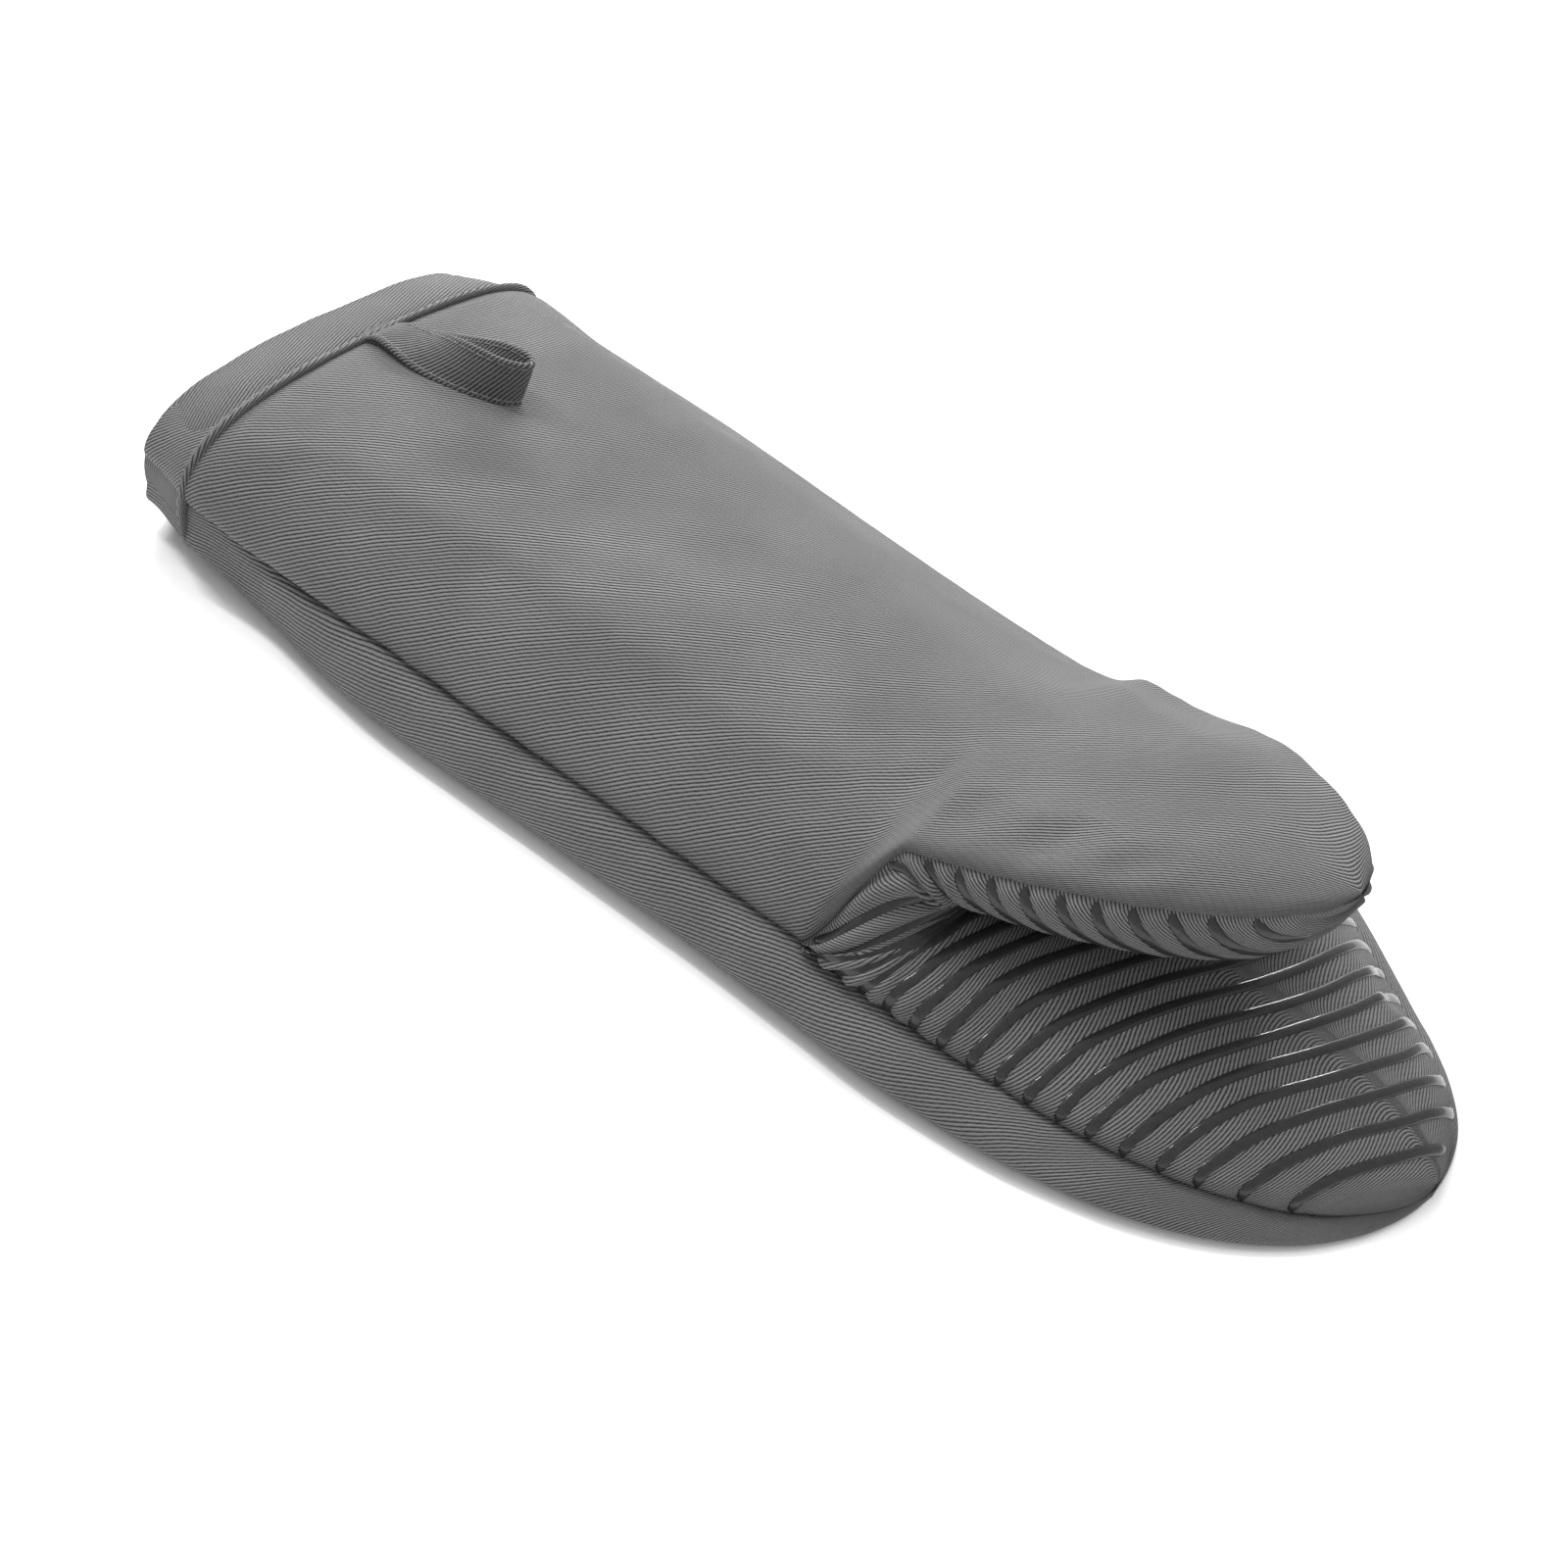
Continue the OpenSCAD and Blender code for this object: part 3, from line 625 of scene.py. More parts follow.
def let_settle(points, flip, slack, pressure, cap):
    """Moves of a grid's points after a cloth simulation with its four edges sewn down.

    slack is the spare length of the cloth, which buckles into soft folds between its seams.
    """
    rows, cols = (np.unique(np.append(np.arange(0, n, SETTLE_STEP), n - 1)) for n in points.shape[:2])
    coarse = points[np.ix_(rows, cols)] * SETTLE_SCALE
    mesh = grid_mesh("settling", coarse, flip=flip)
    cloth = bpy.data.objects.new("settling", mesh)
    bpy.context.scene.collection.objects.link(cloth)
    index = np.arange(coarse.shape[0] * coarse.shape[1]).reshape(coarse.shape[:2])
    pins = cloth.vertex_groups.new(name="sewn")
    sewn = np.ones(coarse.shape[:2], dtype=bool)
    sewn[2:-2, 2:-2] = False
    pins.add(index[sewn].tolist(), 1.0, "REPLACE")
    solver = cloth.modifiers.new("settle", "CLOTH")
    setup = solver.settings
    setup.quality = 6
    setup.mass = 0.3
    setup.tension_stiffness = setup.compression_stiffness = 12
    setup.shear_stiffness = 4
    setup.bending_stiffness = 1.2
    setup.vertex_group_mass = "sewn"
    setup.shrink_min = -slack
    setup.use_pressure = True
    setup.uniform_pressure_force = pressure
    setup.effector_weights.gravity = 0
    solver.collision_settings.use_collision = False
    solver.point_cache.frame_start, solver.point_cache.frame_end = 1, SETTLE_FRAMES
    scene = bpy.context.scene
    for number in range(1, SETTLE_FRAMES + 1):
        scene.frame_set(number)
    settled = cloth.evaluated_get(bpy.context.evaluated_depsgraph_get()).data
    moved = np.empty(len(settled.vertices) * 3)
    settled.vertices.foreach_get("co", moved)
    move = (moved.reshape(coarse.shape) - coarse) / SETTLE_SCALE
    scene.frame_set(1)
    bpy.data.objects.remove(cloth)
    bpy.data.meshes.remove(mesh)
    if not np.isfinite(move).all():
        raise RuntimeError("the cloth simulation went wrong")
    size = np.linalg.norm(move, axis=-1, keepdims=True)
    move *= np.minimum(1, cap / np.maximum(size, 1e-9))
    return catmull(move, *points.shape[:2])


def seam_crimp(points, normal, seam_distance, seed, depth=0.45 * MM, reach=0.009):
    """Small puckers that the stitching draws into the cloth beside a seam."""
    near = np.exp(-(seam_distance / reach) ** 2)
    ripple = cloud(points * np.array([1.0, 0.35, 0.35]), 0.0062, seed)
    return normal * (near * ripple * depth)[..., None]


def edge_distance(points):
    """Distance over the cloth of each grid point from the nearer end of its row."""
    _, v = arc_lengths(points)
    return np.minimum(v - v[:, :1], v[:, -1:] - v)


def tuck(points, inward, drop, reach=0.0016):
    """Turns a grid's side edges in and under, as seam allowances are."""
    near = np.exp(-edge_distance(points) / reach)
    out = points.copy()
    out[..., 1] -= np.sign(points[..., 1]) * near * inward
    out[..., 2] += near * drop
    return out


def stripe_ripples(pattern, s, points, normal, lobe):
    """Puckers between the stiff stripes, deepest beside the seams and at the mouth's corner."""
    turn = np.linspace(-1, 1, points.shape[1])[None, :]
    phase = (s[:, None] - pattern.stripe_slant(lobe, turn, points[..., 1]) - FIRST_STRIPE[lobe]) \
        / pattern.sizes.stripe_pitch
    edge = edge_distance(points)
    corner = (1 - ease((s - pattern.sizes.crotch - 0.016) / 0.022))[:, None]
    depth = 0.35 * MM * np.exp(-(edge / 0.010) ** 2)
    depth = depth + 0.75 * MM * corner * ease(edge / 0.004) * (1 - ease((edge - 0.014) / 0.014))
    if lobe == "thumb":
        depth = depth + 0.35 * MM * (1 - ease((edge - 0.010) / 0.030))
    return normal * (-np.cos(2 * math.pi * phase) * depth * ease(edge / 0.0015))[..., None]


class Cloths:
    """The shaped grids of the outer cloths, kept for the stripes that lie on them"""

    grids = {}


def top_cloth(pattern):
    m = pattern.sizes
    lobe = stations_to_tip(0.200, FOLD, m.thumb_length, 1.2 * MM, 1.0 * MM)
    s = np.concatenate([stations(2 * MM, 0.200, 2.0 * MM), lobe[1:]])
    points = pattern.top_rows(s, 121)
    uv = arc_lengths(points)
    free = ease((s - m.binding_width - 2 * MM) / 0.03)[:, None] * ease(edge_distance(points) / 0.02)
    points = points + free[..., None] * let_settle(points, False, 0.003, 0.8, 1.6 * MM)
    normal = normals_of(points)
    swell = cloud(points, 0.075, 3) * 1.0 * MM + cloud(points, 0.03, 5) * 0.35 * MM
    fade = 1 - np.exp(-(edge_distance(points) / 0.02) ** 2)
    points = points + normal * (swell * fade)[..., None]
    points = points + seam_crimp(points, normal, edge_distance(points), 11)
    return tuck(points, 2.2 * MM, -0.6 * MM), uv


def back_cloth(pattern):
    s = stations_to_tip(2 * MM, 0.262, pattern.sizes.length, 2.2 * MM, 1.6 * MM)
    points = pattern.back_rows(s, 34, 49)
    uv = arc_lengths(points)
    normal = normals_of(points)
    roll = ease(points[..., 2] / 0.008)
    ripple = cloud(points * np.array([1, 0.3, 0.3]), 0.016, 21) * 0.55 * MM
    ripple += cloud(points, 0.055, 23) * 0.9 * MM
    points = points - normal * (ripple * roll)[..., None]
    points = points - seam_crimp(points, normal, edge_distance(points), 27, 0.5 * MM, 0.007)
    return tuck(points, 2.6 * MM, -0.8 * MM), uv


def lobe_cloth(pattern, lobe):
    m = pattern.sizes
    if lobe == "finger":
        s = stations_to_tip(m.crotch, pattern.finger_hinge, m.length, 0.7 * MM, 1.3 * MM)
        points = pattern.lobe_rows(s, 141, lobe)
        settled = let_settle(points, False, 0.006, 0.6, 1.2 * MM)
        side = 1
    else:
        s = stations_to_tip(m.crotch, pattern.thumb_hinge, m.thumb_length, 0.7 * MM, 1.0 * MM)
        points = pattern.lobe_rows(s, 121, lobe)
        settled = let_settle(points, True, 0.003, 0.6, 0.8 * MM)
        side = -1
    uv = arc_lengths(points)
    free = ease((s - m.crotch - 0.012) / 0.03)[:, None] * ease(edge_distance(points) / 0.015)
    points = points + settled * free[..., None]
    normal = normals_of(points) * side
    points = points + stripe_ripples(pattern, s, points, normal, lobe)
    points = points + normal * (cloud(points, 0.02, 31) * 0.35 * MM)[..., None]
    points = points + seam_crimp(points, normal, edge_distance(points), 37, 0.22 * MM, 0.008)
    return s, tuck(points, 1.6 * MM, -0.4 * MM * side), uv


def sample(grid, rows, cols):
    """Bilinear values of a grid at fractional rows and columns."""
    r = np.clip(rows, 0, grid.shape[0] - 1.001)
    c = np.clip(cols, 0, grid.shape[1] - 1.001)
    i, j = r.astype(int), c.astype(int)
    a, b = (r - i)[:, None], (c - j)[:, None]
    return ((grid[i, j] * (1 - b) + grid[i, j + 1] * b) * (1 - a)
            + (grid[i + 1, j] * (1 - b) + grid[i + 1, j + 1] * b) * a)


def stripe_grid(centre, normal, width, height):
    """One raised bead along a line that lies on the cloth."""
    run = np.gradient(centre, axis=0)
    run /= np.linalg.norm(run, axis=1, keepdims=True)
    over = np.cross(normal, run)
    over /= np.linalg.norm(over, axis=1, keepdims=True)
    profile = [(-1.0, -0.5), (-0.96, 0.35), (-0.78, 0.8), (-0.4, 1.0), (0.0, 1.04),
               (0.4, 1.0), (0.78, 0.8), (0.96, 0.35), (1.0, -0.5)]
    taper = np.ones(len(centre))
    taper[[0, -1]] = 0.25
    taper[[1, -2]] = 0.8
    return np.stack([centre + over * (a * width / 2 * taper)[:, None]
                     + normal * (b * height * np.minimum(1, taper + 0.2))[:, None]
                     for a, b in profile], axis=1)


def stripes_on(pattern, s, cloth, lobe):
    """Grids of the grip stripes that cross one lobe of the palm."""
    m = pattern.sizes
    normal = normals_of(cloth) * (1 if lobe == "finger" else -1)
    tip = m.length if lobe == "finger" else m.thumb_length
    made = []
    turn = np.linspace(*STRIPE_SPAN, 250)
    cols = (turn + 1) / 2 * (cloth.shape[1] - 1)
    for k in range(-7, int((tip - FIRST_STRIPE[lobe]) / m.stripe_pitch) + 1):
        start = FIRST_STRIPE[lobe] + k * m.stripe_pitch
        at = np.full(len(turn), start)
        for _ in range(12):
            y = sample(cloth, np.interp(at, s, np.arange(len(s))), cols)[:, 1]
            at = 0.4 * at + 0.6 * (start + pattern.stripe_slant(lobe, turn, y))
        at = at + np.array([noise.noise(Vector((x * 4, k * 3.7, 0.5))) for x in turn]) * 0.5 * MM
        inside = (at > m.crotch + 1.0 * MM) & (at < tip - 3.5 * MM)
        runs = np.flatnonzero(np.diff(np.concatenate([[0], inside.astype(int), [0]])))
        for a, b in zip(runs[::2], runs[1::2]):
            if b - a < 8:
                continue
            rows = np.interp(at[a:b], s, np.arange(len(s)))
            line, up = sample(cloth, rows, cols[a:b]), sample(normal, rows, cols[a:b])
            span = lengths_along(line)
            if span[-1] < SHORTEST_STRIPE:
                continue
            even = np.linspace(0, span[-1], max(6, int(span[-1] / (1.3 * MM))))
            line, up = points_at(even, span, line), points_at(even, span, up)
            up /= np.linalg.norm(up, axis=1, keepdims=True)
            made.append(stripe_grid(line, up, m.stripe_width, m.stripe_height))
    return made


# --------------------------------------------------------------------------- trim

def rounded_ring(pattern, s, depth, count=320, blur=0.007):
    """The cuff's outline at one station, evenly spaced and with the seams' notches filled."""
    ring = pattern.ring(s, depth)
    loop = np.vstack([ring, ring[:1]])
    span = lengths_along(loop)
    even = np.linspace(0, span[-1], count, endpoint=False)
    loop = points_at(even, span, loop)
    reach = blur / (span[-1] / count)
    k = np.arange(-int(3 * reach), int(3 * reach) + 1)
    weight = np.exp(-(k / reach) ** 2)
    weight /= weight.sum()
    smooth = sum(w * np.roll(loop, -j, axis=0) for w, j in zip(weight, k))
    smooth[:, 0] = loop[:, 0]
    return smooth


def binding_grid(pattern):
    m = pattern.sizes
    w, t, pad = m.binding_width, m.binding_thickness, m.padding
    stitch = w - 2.3 * MM
    outer = [(w + 0.2 * MM, 0.3 * MM), (w + 0.5 * MM, -0.6 * t), (w + 0.1 * MM, -t - 0.6 * MM),
             (w - 0.8 * MM, -t - 0.85 * MM), (w - 1.7 * MM, -t - 0.35 * MM), (stitch, -t + 0.35 * MM),
             (stitch - 0.9 * MM, -t - 0.2 * MM)]
    puffed = [(x, -t - 0.9 * MM * math.sin(math.pi * x / stitch) ** 0.7 * (0.4 + 0.6 * x / stitch))
              for x in np.linspace(stitch - 2.2 * MM, 2.4 * MM, 9)]
    lip = [(1.5 * MM * (1 - math.cos(a)) * 0.8 + 0.2 * MM,
            mix(-t - 0.3 * MM, pad + t, (1 - math.sin(a)) / 2))
           for a in np.linspace(math.pi / 2, -math.pi / 2, 9)]
    inner = [(x, pad + t + 0.2 * MM * math.sin(x * 900)) for x in np.linspace(3 * MM, w - 2.5 * MM, 7)]
    inner += [(w - 1.8 * MM, pad + 0.5 * t), (w - 1.2 * MM, pad + t), (w - 1.0 * MM, pad - 0.2 * MM)]
    rows = [rounded_ring(pattern, max(0.0, s), d, blur=0.016 if s < w - 3 * MM else 0.010)
            for s, d in outer + puffed + lip + inner]
    points = np.stack(rows)
    for row, (s, _) in zip(points, outer + puffed + lip + inner):
        row[:, 0] = s - HALF_LENGTH
    drag = cloud(points * np.array([0.4, 1, 1]), 0.010, 41) * 0.25 * MM
    drag += cloud(points, 0.03, 43) * 0.3 * MM
    points = points + normals_of(points) * drag[..., None]
    return points


def thread_grid(line, radius, sides=7):
    """A round thread along a line of points."""
    run = np.gradient(line, axis=0)
    run /= np.maximum(np.linalg.norm(run, axis=1, keepdims=True), 1e-12)
    aside = np.cross(run, np.array([0.31, 0.12, 0.94]))
    aside /= np.maximum(np.linalg.norm(aside, axis=1, keepdims=True), 1e-12)
    above = np.cross(run, aside)
    return np.stack([line + (aside * math.cos(a) + above * math.sin(a)) * radius
                     for a in np.linspace(0, 2 * math.pi, sides + 1)], axis=1)


def stitches_along(line, normal, pitch, length, radius, bow):
    """Threads of a row of straight stitches: each dives into the cloth at both its ends."""
    span = lengths_along(line)
    made = []
    for start in np.arange(0, span[-1] - length, pitch):
        even = start + np.linspace(0, length, 6)
        points, up = points_at(even, span, line), points_at(even, span, normal)
        lift = bow * (np.sin(np.linspace(0, math.pi, 6)) - 0.35)
        made.append(thread_grid(points + up * lift[:, None], radius))
    return made


# Hanging loop: station, offset from the middle, height over the panel and lean in degrees, from
# lying flat to standing on its edge and back
LOOP_ROUTE = [
    (16.0, 0.0, 0.6, 0), (20.5, 0.0, 0.9, 0), (23.5, -0.2, 2.0, 1), (28, -0.8, 3.2, 6),
    (34, -1.9, 4.3, 18), (40.5, -3.0, 5.6, 40), (47.5, -3.4, 6.8, 62), (54, -2.6, 7.4, 76),
    (59.8, -0.8, 7.6, 84), (63.4, 1.6, 7.6, 90), (64.6, 4.2, 7.5, 96), (62.2, 6.3, 7.2, 102),
    (56.5, 6.2, 6.6, 112), (50, 4.9, 5.2, 128), (42, 3.2, 3.4, 150), (34, 1.8, 2.1, 168),
    (27, 0.8, 1.2, 177), (21.0, 0.2, 0.5, 180), (16.0, 0.0, 0.3, 180),
]


def loop_sweep(pattern, profile):
    """Grid of the loop's tape: its cross-section carried along the route."""
    route = np.array(LOOP_ROUTE)
    fine = catmull(route[:, None, :], 120, 1)[:, 0]
    s, y, up, lean = fine[:, 0] * MM, fine[:, 1] * MM, fine[:, 2] * MM, fine[:, 3] * DEGREE
    centre = np.stack([s - HALF_LENGTH, y, pattern.top_crown(s) + up], axis=1)
    run = np.gradient(centre, axis=0)
    flat = run * np.array([1, 1, 0])
    flat /= np.linalg.norm(flat, axis=1, keepdims=True)
    side = np.stack([flat[:, 1], -flat[:, 0], np.zeros(len(flat))], axis=1)
    rise = np.array([0, 0, 1.0])
    along = side * np.cos(lean)[:, None] - rise * np.sin(lean)[:, None]
    over = side * np.sin(lean)[:, None] + rise * np.cos(lean)[:, None]
    return np.stack([centre + along * a + over * b for a, b in profile], axis=1), centre, along, over


# --------------------------------------------------------------------------- operators

def at_hand(context):
    """The scene's sizes and colours of the mitt, and the pattern worked out from the sizes."""
    sizes = context.scene.mitt_sizes
    return sizes, context.scene.mitt_colours, Pattern(sizes)


class MITT_OT_outer_cloth(bpy.types.Operator):
    """Cut and sew the plain twill panels of the thumb side and the back"""

    bl_idname = "mitt.outer_cloth"
    bl_label = "Outer Cloth"

    def execute(self, context):
        sizes, colours, pattern = at_hand(context)
        cloth = twill("twill_thumb_side", colours.twill, sizes.wale, 39 * DEGREE)
        points, uv = top_cloth(pattern)
        top = add_piece("thumb_side_cloth", grid_mesh("thumb_side_cloth", points, uv=uv), cloth)
        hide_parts("thumb_side_panel", "thumb_side_wadding", "thumb_panel", "thumb_panel_wadding")
        bend_at(top)
        cloth = twill("twill_back", colours.twill, sizes.wale, -20 * DEGREE)
        points, uv = back_cloth(pattern)
        back = add_piece("back_cloth", grid_mesh("back_cloth", points, flip=True, uv=uv), cloth)
        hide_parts("back_panel", "back_wadding", "finger_back_panel", "finger_back_wadding")
        bend_at(back)
        return {"FINISHED"}


class MITT_OT_palm_cloth(bpy.types.Operator):
    """Fold the palm insert into the mouth, over the fingers and under the thumb"""

    bl_idname = "mitt.palm_cloth"
    bl_label = "Palm Cloth"

    def execute(self, context):
        sizes, colours, pattern = at_hand(context)
        cloth = twill("twill_palm", colours.twill, sizes.wale, 112 * DEGREE)
        s, points, uv = lobe_cloth(pattern, "finger")
        Cloths.grids["finger"] = (s, points)
        palm = add_piece("finger_palm_cloth", grid_mesh("finger_palm_cloth", points, uv=uv), cloth)
        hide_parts("palm_web", "palm_web_wadding", "finger_insert", "finger_insert_wadding")
        bend_at(palm)
        s, points, uv = lobe_cloth(pattern, "thumb")
        Cloths.grids["thumb"] = (s, points)
        mesh = grid_mesh("thumb_palm_cloth", points, flip=True, uv=uv)
        palm = add_piece("thumb_palm_cloth", mesh, cloth)
        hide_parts("thumb_insert", "thumb_insert_wadding")
        bend_at(palm)
        return {"FINISHED"}


class MITT_OT_grip_stripes(bpy.types.Operator):
    """Lay the raised silicone stripes on the palm insert"""

    bl_idname = "mitt.grip_stripes"
    bl_label = "Grip Stripes"

    def execute(self, context):
        _, colours, pattern = at_hand(context)
        silicone = moulded_silicone("grip_silicone", colours.silicone)
        for lobe, joint, nodes in (("finger", "finger_curl", ("palm_web_grips", "finger_grips")),
                                   ("thumb", "thumb_open", ("thumb_grips",))):
            s, points = Cloths.grids[lobe]
            grids = stripes_on(pattern, s, points, lobe)
            mesh = join_grids(lobe + "_stripes", grids)
            piece = add_piece(lobe + "_stripes", mesh, silicone)
            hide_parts(*nodes)
            bend_at(piece)
        return {"FINISHED"}


class MITT_OT_lining(bpy.types.Operator):
    """Hang the plain-woven lining inside the cuff, fingers and thumb"""

    bl_idname = "mitt.lining"
    bl_label = "Lining"

    def execute(self, context):
        sizes, colours, pattern = at_hand(context)
        cotton = plain_weave("lining_cotton", colours.lining, 0.9 * MM)
        depth = sizes.padding
        crotch, hinge = sizes.crotch, pattern.finger_hinge
        thumb_tip, finger_tip = sizes.thumb_length - 2.2 * depth, sizes.length - 2.6 * depth
        top = stations_to_tip(3 * MM, FOLD, thumb_tip, 4 * MM, 3 * MM)
        low = stations_to_tip(3 * MM, hinge, finger_tip, 4 * MM, 3 * MM)
        over = stations_to_tip(crotch, hinge, finger_tip, 2 * MM, 3 * MM)
        under = stations_to_tip(crotch, FOLD, thumb_tip, 2 * MM, 3 * MM)
        cuts = (
            ("thumb_side_lining_cloth", pattern.top_rows(top, 49, depth), True,
             "thumb_open", ("thumb_side_lining", "thumb_panel_lining")),
            ("back_lining_cloth", pattern.back_rows(low, 14, 25, depth), False,
             "finger_curl", ("back_lining", "finger_back_lining")),
            ("finger_palm_lining_cloth", pattern.lobe_rows(over, 49, "finger", depth), True,
             "finger_curl", ("palm_web_lining", "finger_insert_lining")),
            ("thumb_palm_lining_cloth", pattern.lobe_rows(under, 49, "thumb", depth), False,
             "thumb_open", ("thumb_insert_lining",)),
        )
        for seed, (name, points, flip, joint, nodes) in enumerate(cuts):
            free = np.minimum(1, edge_distance(points) / 0.02)
            loose = cloud(points, 0.03, 51 + seed) * 0.8 * MM * free
            points = points + normals_of(points) * loose[..., None] * (-1 if flip else 1)
            piece = add_piece(name, grid_mesh(name, points, flip=flip), cotton)
            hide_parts(*nodes)
            bend_at(piece)
        return {"FINISHED"}


class MITT_OT_cuff_binding(bpy.types.Operator):
    """Bind the cuff's rim with folded twill tape and stitch it down"""

    bl_idname = "mitt.cuff_binding"
    bl_label = "Cuff Binding"

    def execute(self, context):
        sizes, colours, pattern = at_hand(context)
        points = binding_grid(pattern)
        u, v = arc_lengths(points)
        profile = lengths_along(points[:, 80])
        u = np.broadcast_to(profile[:, None], v.shape)
        v = np.broadcast_to(v[4:5] - v[4, :1], v.shape)
        tape = twill("twill_binding", colours.tape, sizes.wale * 1.02, 70 * DEGREE)
        mesh = grid_mesh("cuff_tape", points, flip=True, ring=True, uv=(u, v))
        binding = add_piece("cuff_tape", mesh, tape)
        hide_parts("cuff_binding")
        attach(binding, "hand")
        row = points[5]
        line = np.vstack([row, row[:1]])
        normal = -normals_of(points)[5]
        normal = np.vstack([normal, normal[:1]])
        out = np.sign(((line - line.mean(axis=0)) * normal).sum(axis=1).mean())
        grids = stitches_along(line, normal * out, 3.6 * MM, 2.7 * MM, 0.24 * MM, 0.35 * MM)
        thread = twisted_thread("binding_thread", colours.thread)
        stitches = add_piece("cuff_stitches", join_grids("cuff_stitches", grids), thread)
        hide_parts("binding_stitching")
        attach(stitches, "hand")
        return {"FINISHED"}


class MITT_OT_hanging_loop(bpy.types.Operator):
    """Fold the hanging loop from stitched twill tape"""

    bl_idname = "mitt.hanging_loop"
    bl_label = "Hanging Loop"

    def execute(self, context):
        sizes, colours, pattern = at_hand(context)
        w, t = sizes.tape_width / 2, sizes.tape_thickness / 2
        half = [(w, 0.0), (w * 0.97, 0.75 * t), (w * 0.88, 1.05 * t), (w * 0.76, 0.72 * t),
                (w * 0.55, 0.9 * t), (0.0, 1.0 * t), (-w * 0.55, 0.9 * t), (-w * 0.76, 0.72 * t),
                (-w * 0.88, 1.05 * t), (-w * 0.97, 0.75 * t), (-w, 0.0)]
        profile = half + [(a, -b) for a, b in half[-2::-1]]
        points, centre, along, over = loop_sweep(pattern, profile)
        wobble = cloud(points, 0.009, 61) * 0.3 * MM
        points = points + np.array([0, 0.5, 0.5]) * wobble[..., None]
        tape = twill("twill_loop", colours.tape, sizes.wale, 55 * DEGREE)
        span, girth = lengths_along(centre), lengths_along(np.array(profile))
        uv = np.broadcast_arrays(span[:, None], girth[None, :])
        piece = add_piece("loop_tape", grid_mesh("loop_tape", points, uv=uv), tape)
        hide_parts("hanging_loop")
        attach(piece, "loop")
        thread = twisted_thread("loop_thread", colours.thread)
        grids = []
        for edge in (0.76, -0.76):
            for face in (1, -1):
                line = centre + along * w * edge + over * t * 0.72 * face
                grids += stitches_along(line[6:-6], (over * face)[6:-6],
                                        3.0 * MM, 2.2 * MM, 0.16 * MM, 0.2 * MM)
        stitches = add_piece("loop_stitches", join_grids("loop_stitches", grids), thread)
        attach(stitches, "loop")
        return {"FINISHED"}


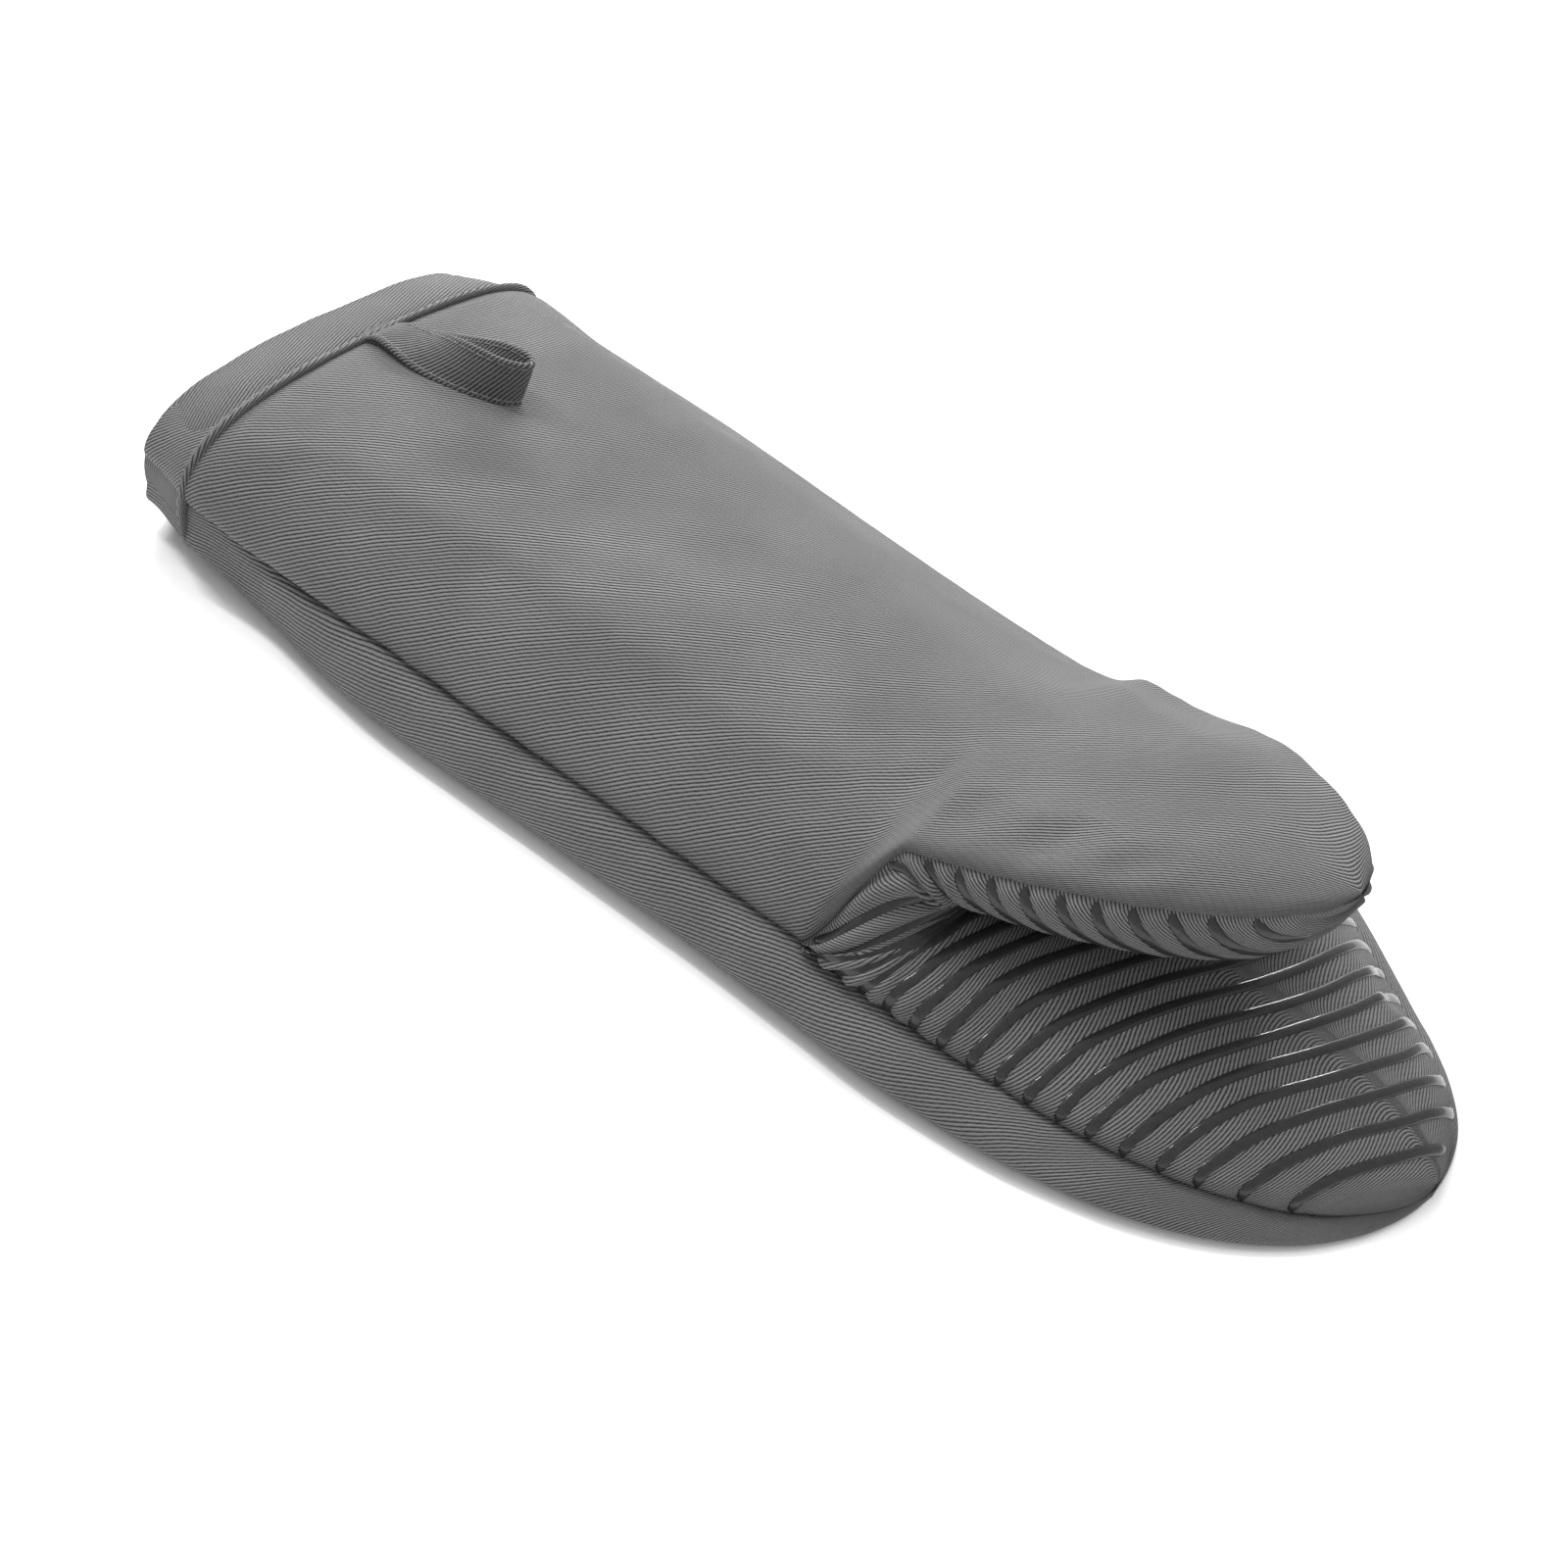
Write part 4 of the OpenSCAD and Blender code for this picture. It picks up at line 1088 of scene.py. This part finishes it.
class MITT_OT_stage(bpy.types.Operator):
    """Set out the pale floor, the soft lights and the camera"""

    bl_idname = "mitt.stage"
    bl_label = "Stage"

    def execute(self, context):
        mesh = bpy.data.meshes.new("floor")
        r = 6.0
        mesh.from_pydata([(-r, -r, 0), (r, -r, 0), (r, r, 0), (-r, r, 0)], [], [(0, 1, 2, 3)])
        floor = bpy.data.objects.new("floor", mesh)
        context.scene.collection.objects.link(floor)
        w = Weaver("floor_paper")
        where = w.add("ShaderNodeNewGeometry").outputs["Position"]
        grain = w.noise(where, 260.0)
        paper = w.tint((0.92, 0.92, 0.92), w.ramp(grain, [(0.3, 0.985), (0.7, 1.0)]))
        mesh.materials.append(w.finish(paper, grain, 0.02 * MM, 0.3, Roughness=0.9))
        for name, place, size, power, glossy in (
                ("key", (-0.45, 0.45, 1.10), (0.6, 0.6), 9.0, False),
                ("fill", (0.75, -0.95, 0.9), (1.2, 1.2), 6.0, False),
                ("top", (0.1, 0.0, 1.6), (1.1, 1.1), 10.0, False),
                ("edge", (-0.62, 0.75, 0.42), (0.8, 0.05), 12.0, True),
                ("left", (-0.72, -0.10, 0.76), (0.04, 0.5), 5.0, True)):
            light = bpy.data.lights.new(name, "AREA")
            light.shape, light.energy = "RECTANGLE", power
            light.size, light.size_y = size
            lamp = bpy.data.objects.new(name, light)
            lamp.location = place
            aim = Vector((0.02, 0, 0.03)) - Vector(place)
            lamp.rotation_euler = aim.to_track_quat("-Z", "Y").to_euler()
            lamp.visible_glossy = glossy
            context.scene.collection.objects.link(lamp)
        world = bpy.data.worlds.new("studio")
        world.use_nodes = True
        world.node_tree.nodes["Background"].inputs["Color"].default_value = (1, 1, 1, 1)
        world.node_tree.nodes["Background"].inputs["Strength"].default_value = 0.5
        context.scene.world = world
        context.scene.view_settings.view_transform = "Standard"
        camera = bpy.data.objects.new("camera", bpy.data.cameras.new("camera"))
        camera.data.lens, camera.data.sensor_width = 79.38, 36.0
        camera.data.clip_start, camera.data.clip_end = 0.05, 20.0
        right, up = Vector((0.776976, 0.591956, 0.214233)), Vector((-0.517536, 0.406876, 0.752734))
        turn = Matrix((right, up, right.cross(up))).transposed()
        camera.matrix_world = Matrix.Translation((0.297869, -0.599299, 0.531350)) @ turn.to_4x4()
        context.scene.collection.objects.link(camera)
        context.scene.camera = camera
        return {"FINISHED"}


class MITT_PT_panel(bpy.types.Panel):
    """The mitt's sizes, colours and pieces in the sidebar"""

    bl_idname = "MITT_PT_panel"
    bl_label = "Oven Mitt"
    bl_space_type = "VIEW_3D"
    bl_region_type = "UI"
    bl_category = "Oven Mitt"

    def draw(self, context):
        for group in (context.scene.mitt_sizes, context.scene.mitt_colours):
            box = self.layout.box()
            for key in group.__annotations__:
                box.prop(group, key)
        for operator in OPERATORS:
            self.layout.operator(operator.bl_idname)


OPERATORS = (MITT_OT_outer_cloth, MITT_OT_palm_cloth, MITT_OT_grip_stripes, MITT_OT_lining,
             MITT_OT_cuff_binding, MITT_OT_hanging_loop, MITT_OT_stage)
CLASSES = (MittSizes, MittColours) + OPERATORS + (MITT_PT_panel,)


def register():
    for made in CLASSES:
        bpy.utils.register_class(made)
    bpy.types.Scene.mitt_sizes = bpy.props.PointerProperty(type=MittSizes)
    bpy.types.Scene.mitt_colours = bpy.props.PointerProperty(type=MittColours)


def unregister():
    del bpy.types.Scene.mitt_sizes, bpy.types.Scene.mitt_colours
    for made in reversed(CLASSES):
        bpy.utils.unregister_class(made)


def main():
    register()
    bpy.ops.mitt.outer_cloth()
    bpy.ops.mitt.palm_cloth()
    bpy.ops.mitt.grip_stripes()
    bpy.ops.mitt.lining()
    bpy.ops.mitt.cuff_binding()
    bpy.ops.mitt.hanging_loop()
    bpy.ops.mitt.stage()


if __name__ == "__main__":
    main()
